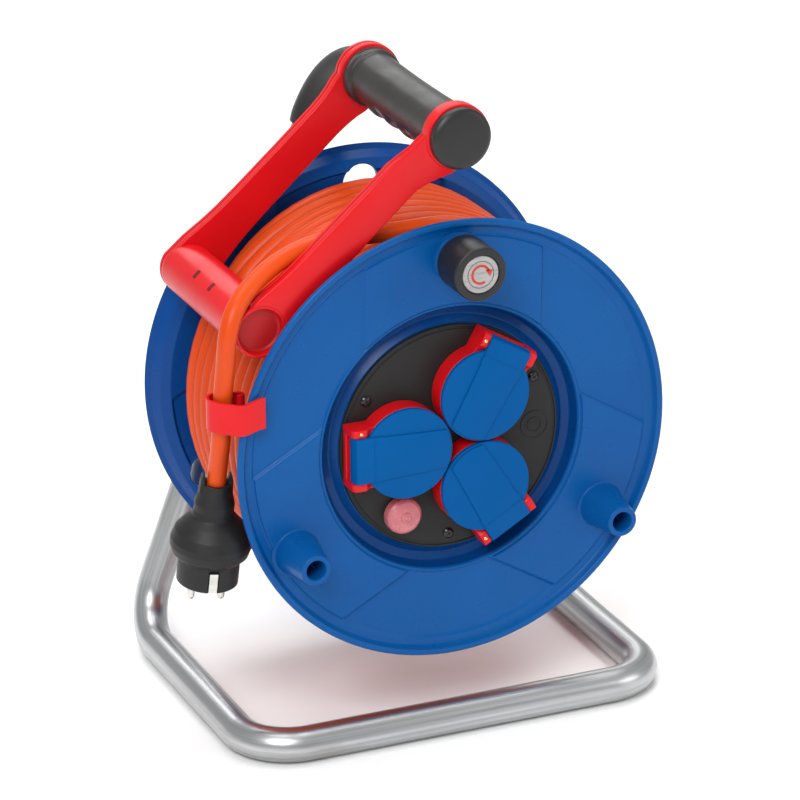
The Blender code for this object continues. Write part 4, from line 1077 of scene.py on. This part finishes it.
def make_handle():
    """Grip with its stepped rear collar, and the end cap with fine turned rings."""
    axis = (0.0, HANDLE_Z)
    sides = 96
    angles = [2.0 * math.pi * index / sides for index in range(sides)]
    bm = bmesh.new()
    stations = [(1.0, -3.0), (1.0, -1.0), (1.2, -0.3), (1.8, 0.0)]
    stations += [(2.0 + 1.2 * index, 0.0) for index in range(1, 98)]
    rows = []
    for y, change in stations:
        rows.append(round_row(bm, y, [grip_radius(y, angle) + change for angle in angles], axis))
    collar = (
        (17.2, 119.4), (17.9, 119.9), (18.7, 121.0), (18.9, 122.0), (18.9, 123.4), (18.6, 123.8),
        (17.6, 124.1), (17.5, 124.6), (18.4, 124.9), (18.9, 125.4), (18.9, 127.6), (18.6, 128.5),
        (18.0, 128.9), (14.4, 128.9), (14.4, 138.0), (11.5, 138.0),
    )
    for radius, y in collar:
        rows.append(round_row(bm, y, [radius] * sides, axis))
    join_rows(bm, rows, wrap=False)
    emit(bm, "grip_sleeve", GRIP, "frame", ("handle_grip",), 40.0)

    cap = [(0.0, CAP_FACE)]
    cap += [(2.0 * index, CAP_FACE + 0.006 * (2.0 * index) ** 1.7) for index in range(1, 9)]
    cap += fillet([
        (17.0, -15.4), (CAP_R, -13.6, 1.6), (CAP_R, -9.2, 0.5), (18.8, -8.8), (14.4, -8.8), (14.4, 0.6),
        (0.0, 0.6)], closed=False)
    emit(lathe(cap, 120, axis), "grip_end_cap", BLACK, "frame", ("handle_end_cap",))


make_frame()
make_handle()

# bodies kept as they are in the frame, with a fine material
KEPT_BODIES = (
    (PLAIN_STEEL, (
        "bearer_plate", "plate_rivet_left", "plate_rivet_right", "axle", "axle_clip", "front_washer",
        "axle_nut", "stud_screw_left", "stud_screw_right", "knob_pin", "lid_spring_1", "lid_spring_2",
        "lid_spring_3")),
    (BLACK, ("leg_stopper", "front_bush", "rear_bush", "thermal_cutout")),
    (BRASS, ("hinge_pin_1", "hinge_pin_2", "hinge_pin_3")),
    (NICKEL, (
        "earth_strap_1", "earth_strap_2", "earth_strap_3", "plug_earth_a", "plug_earth_b", "plug_pin_a",
        "plug_pin_b")),
    (SOCKET_BLACK, ("socket_1", "socket_2", "socket_3")),
    (DRUM_BLUE, ("drum_barrel", "inner_web")),
    (RED, ("reset_button",)),
)
for look, names in KEPT_BODIES:
    for name in names:
        nodes[name].data.materials[0] = look


# ---- guide
GUIDE_X = -124.5
GUIDE_Z = 88.5
GUIDE_R = 16.8
ARM_LOW = 5.4
ARM_HIGH = 14.4
EYE_R = 20.6
EYE_FRONT_Y = -8.5
LOBE_HOLLOW = 16.2
LATCH_Y = (61.0, 86.0)
LATCH_ANGLE = 131.0
# distance from the handle axis and half width along a guide arm
ARM_STATIONS = (
    (18.0, 15.4), (24.0, 13.7), (31.0, 12.6), (40.0, 12.0), (70.0, 12.0), (110.0, 12.4), (126.0, 12.9),
    (137.0, 13.8), (146.0, 15.0), (154.0, 16.0),
)


def arm_outline(hollow=False):
    """Outline of a guide arm: eye, slim waist, foot round the cross tube or against its lobe."""
    start = Vector((0.0, HANDLE_Z))
    end = Vector((GUIDE_X, GUIDE_Z))
    ahead = (end - start).normalized()
    side = Vector((-ahead.y, ahead.x))
    heading = math.degrees(math.atan2(ahead.y, ahead.x))
    outline = arc_points(start, EYE_R, heading + 50.0, heading + 310.0, 60)
    outline += [tuple(start + ahead * along - side * half) for along, half in ARM_STATIONS]
    if hollow:
        outline += arc_points(end, LOBE_HOLLOW, heading + 258.0, heading + 102.0, 40)
    else:
        outline += arc_points(end, GUIDE_R, heading - 80.0, heading + 80.0, 40)
    outline += [tuple(start + ahead * along + side * half) for along, half in reversed(ARM_STATIONS)]
    return outline


def arm_section(low, high):
    """Arm edge: two flanges with a groove between them, all corners rounded."""
    middle = low + 0.60 * (high - low)
    return [
        (0.9, low), (0.35, low + 0.15), (0.08, low + 0.5), (0.0, low + 0.9), (0.0, middle - 0.7),
        (0.25, middle - 0.35), (1.6, middle - 0.2), (1.7, middle + 0.7), (0.35, middle + 0.9),
        (0.1, middle + 1.2), (0.1, high - 0.9), (0.2, high - 0.4), (0.5, high - 0.1), (1.0, high),
    ]


def joggle(a, b, depth):
    """Front arm: near the eye the arm comes forward to the plane of the eye."""
    share = 1.0 - smooth_step(16.0, 44.0, math.hypot(a, b - HANDLE_Z))
    low = ARM_LOW + (EYE_FRONT_Y - ARM_LOW) * share
    high = ARM_HIGH - ARM_HIGH * share
    t = (depth - ARM_LOW) / (ARM_HIGH - ARM_LOW)
    return a, low + (high - low) * t, b


def latch_place(a, b, depth):
    """Carry a latch window from its own plane to the side of the cross tube."""
    x, z = turned([(depth, a)], (GUIDE_X, GUIDE_Z), LATCH_ANGLE)[0]
    return x, b, z


def make_guide():
    """Cable guide: both arms, eyes, cross tube with its lobe and latch windows."""
    body = "cable_guide"
    foot = (GUIDE_X, GUIDE_Z)
    joint = ARM_HIGH + 0.3
    rear = contour_plate(arm_outline(), arm_section(128.6, 137.7), along_y)
    tube = [
        (0.0, joint), (GUIDE_R - 0.4, joint, 0.5), (GUIDE_R, ARM_HIGH + 0.8), (GUIDE_R, 129.0, 1.0),
        (GUIDE_R - 0.5, 134.0, 3.0), (GUIDE_R - 4.0, 138.6, 3.5), (0.0, 139.4),
    ]
    lathe(tube, 96, foot, bm=rear)
    emit(rear, "guide_rear_shell", RED, body, ("guide_rear",), 38.0)
    for number, y in enumerate(LATCH_Y, start=1):
        window = [(a, b + y) for a, b in rounded(rectangle(-3.1, 3.1, 1.9), 1.8)]
        emit(contour_plate(window, [(0.0, GUIDE_R - 2.0), (0.0, GUIDE_R + 0.06)], latch_place),
             f"latch_window_{number}", SHADOW_RED, body)

    front = contour_plate(arm_outline(hollow=True), arm_section(ARM_LOW, ARM_HIGH), joggle)
    emit(front, "guide_front_shell", RED, body, ("guide_front",), 38.0)
    eye = [
        (14.8, EYE_FRONT_Y), (20.0, EYE_FRONT_Y, 0.8), (EYE_R, -7.6, 0.4), (EYE_R, 0.0, 0.6), (14.8, 0.0),
    ]
    emit(lathe(eye, 120, (0.0, HANDLE_Z)), "guide_front_eye", RED, body)
    face = ARM_LOW - 0.05
    lobe = [
        (13.9, 11.6), (14.7, ARM_LOW + 0.8, 0.4), (15.1, face, 0.4), (GUIDE_R - 0.5, face, 0.7),
        (GUIDE_R, ARM_LOW + 1.0, 0.5), (GUIDE_R, joint), (13.9, joint),
    ]
    emit(lathe(lobe, 120, foot), "guide_front_lobe", RED, body)
    well = [(0.0, 11.0), (12.6, 11.0, 1.2), (14.2, 9.6, 0.4), (14.2, 13.0), (0.0, 13.0)]
    # the bottom of the well takes the darker red as painted shade
    emit(lathe(well, 96, foot), "guide_front_well", WELL_SHADE_RED, body)


make_guide()


# ---- plug and clip
SKIRT_R = 19.3
PLUG_FACE = 63.6
EARTH_HALF = 3.1
EARTH_SEAT = 17.4
CLIP_Z = 38.3
CLIP_HALF_WIDTH = 10.0
CLIP_HALF_THICK = 0.9


def make_plug():
    """Plug: flared neck with two horns, round grip, skirt with the earth slots and the pin face."""
    profile = refine(fillet([
        (0.0, -1.0), (6.4, -1.0), (6.6, -4.0, 0.4), (9.0, -4.0, 0.6), (9.7, -1.0, 1.0), (12.6, 9.0, 1.5),
        (12.5, 14.0, 2.0), (13.6, 18.0, 2.5), (18.0, 22.0, 3.0), (23.0, 28.0, 3.5), (25.2, 34.0, 2.5),
        (25.4, 38.0, 2.5), (24.0, 43.0, 2.0), (20.1, 46.4, 0.8), (SKIRT_R, 47.4, 0.5),
        (SKIRT_R, PLUG_FACE - 0.8, 0.6), (SKIRT_R - 0.9, PLUG_FACE, 0.4), (0.0, PLUG_FACE)]), 2.0)
    turn = Vector((0.0, 1.0, 0.0)).rotation_difference(PLUG_AXIS).to_matrix().to_4x4()
    hang = Matrix.Translation(PLUG_NECK) @ turn @ Matrix.Rotation(math.radians(PLUG_TURN), 4, "Y")
    bm = lathe(profile, 180)
    for vert in bm.verts:
        x, y, z = vert.co
        if y > 48.4 and abs(z) < EARTH_HALF and math.hypot(x, z) > EARTH_SEAT:
            vert.co.x = math.copysign(EARTH_SEAT, x)
    horn = [
        (6.8, 3.0), (10.6, 2.0), (10.1, -6.0, 2.0), (9.0, -10.4, 0.8), (7.9, -10.4, 0.6), (6.8, -5.0, 1.0),
    ]
    for side in (-1, 1):
        def on_side(a, b, depth, side=side):
            return depth, b, side * a

        contour_plate(horn, soft_section(-3.2, 3.2, 1.2), on_side, bm)
    bm.transform(hang)
    emit(bm, "plug_shell", PLUG, "cable_guide", ("plug_body",), 40.0)


def make_clip():
    """Springy red strap: rolled end, hook round the cord, lap over the rim with a turned-up tip."""
    roll = [Vector(p) for p in arc_points((-137.2, 12.9), 2.7, -130.0, 105.0, 20)]
    hook = [Vector(p) for p in arc_points((-148.8, 11.5), 8.9, 60.0, 215.0, 30)]
    bridge = smooth_route([roll[-1], Vector((-140.8, 17.4)), hook[0]], 8)
    knots = ((-152.6, 1.6), (-147.5, -2.2), (-142.5, -4.3), (-134.0, -4.4), (-126.6, -3.0))
    lap = smooth_route([hook[-1]] + [Vector(p) for p in knots], 40)
    line = roll + bridge[1:-1] + hook + lap[1:]
    section = rounded(rectangle(-CLIP_HALF_THICK, CLIP_HALF_THICK, 1.0), 0.07, steps=3)
    bm = bmesh.new()
    rows = []
    for index, point in enumerate(line):
        before = line[max(index - 1, 0)]
        after = line[min(index + 1, len(line) - 1)]
        ahead = (after - before).normalized()
        side = Vector((-ahead.y, ahead.x))
        over = smooth_step(-151.0, -130.0, point.x) if point.y < 5.0 else 0.0
        middle = CLIP_Z - 1.6 * math.sin(math.pi * over) + 1.4 * over
        row = []
        for a, b in section:
            spot = point + side * a
            row.append(bm.verts.new((spot.x, spot.y, middle + CLIP_HALF_WIDTH * b)))
        rows.append(row)
    join_rows(bm, rows, wrap=False)
    bm.faces.new(rows[0])
    bm.faces.new(rows[-1])
    emit(bm, "rim_clip", RED, "cable_guide", ("cord_clip",), 40.0)


make_plug()
make_clip()


# ---- stage and light
def make_stage():
    """Plain pale floor under an even white sky."""
    material, tree, shader = node_material("stage")
    paint(tree, shader, noise_node(tree, 3.0, 2.0), (0.95, 0.95, 0.95), (0.97, 0.97, 0.97))
    set_inputs(shader, {"Roughness": 0.9})
    bm = bmesh.new()
    bmesh.ops.create_circle(bm, cap_ends=True, radius=6.0, segments=96)
    floor = add_object("floor", take_mesh(bm, "floor"))
    floor.data.materials.append(material)
    floor.location = (0.0, 0.0, -0.0006)

    world_data = bpy.data.worlds.new("studio")
    world_data.use_nodes = True
    set_inputs(world_data.node_tree.nodes["Background"], {"Color": (1.0, 1.0, 1.0, 1.0), "Strength": 0.52})
    bpy.context.scene.world = world_data
    bpy.context.scene.view_settings.view_transform = "Standard"


def area_light(name, at, aim, size, power):
    """Soft square light in metres and watts, aimed at a point."""
    data = bpy.data.lights.new(name, "AREA")
    data.shape = "SQUARE"
    data.size = size
    data.energy = power
    light = add_object(name, data)
    light.location = at
    light.rotation_euler = (Vector(aim) - Vector(at)).to_track_quat("-Z", "Y").to_euler()


make_stage()
DRUM_MIDDLE = (0.0, 0.0, 0.2)
area_light("key", (-1.3, -1.7, 1.9), DRUM_MIDDLE, 1.2, 46.0)
area_light("fill", (1.9, -1.6, 1.0), DRUM_MIDDLE, 1.4, 10.0)
area_light("far_floor", (0.8, 4.6, 2.4), (0.8, 4.8, 0.0), 3.0, 90.0)
area_light("top", (0.1, 0.3, 2.3), DRUM_MIDDLE, 1.7, 34.0)
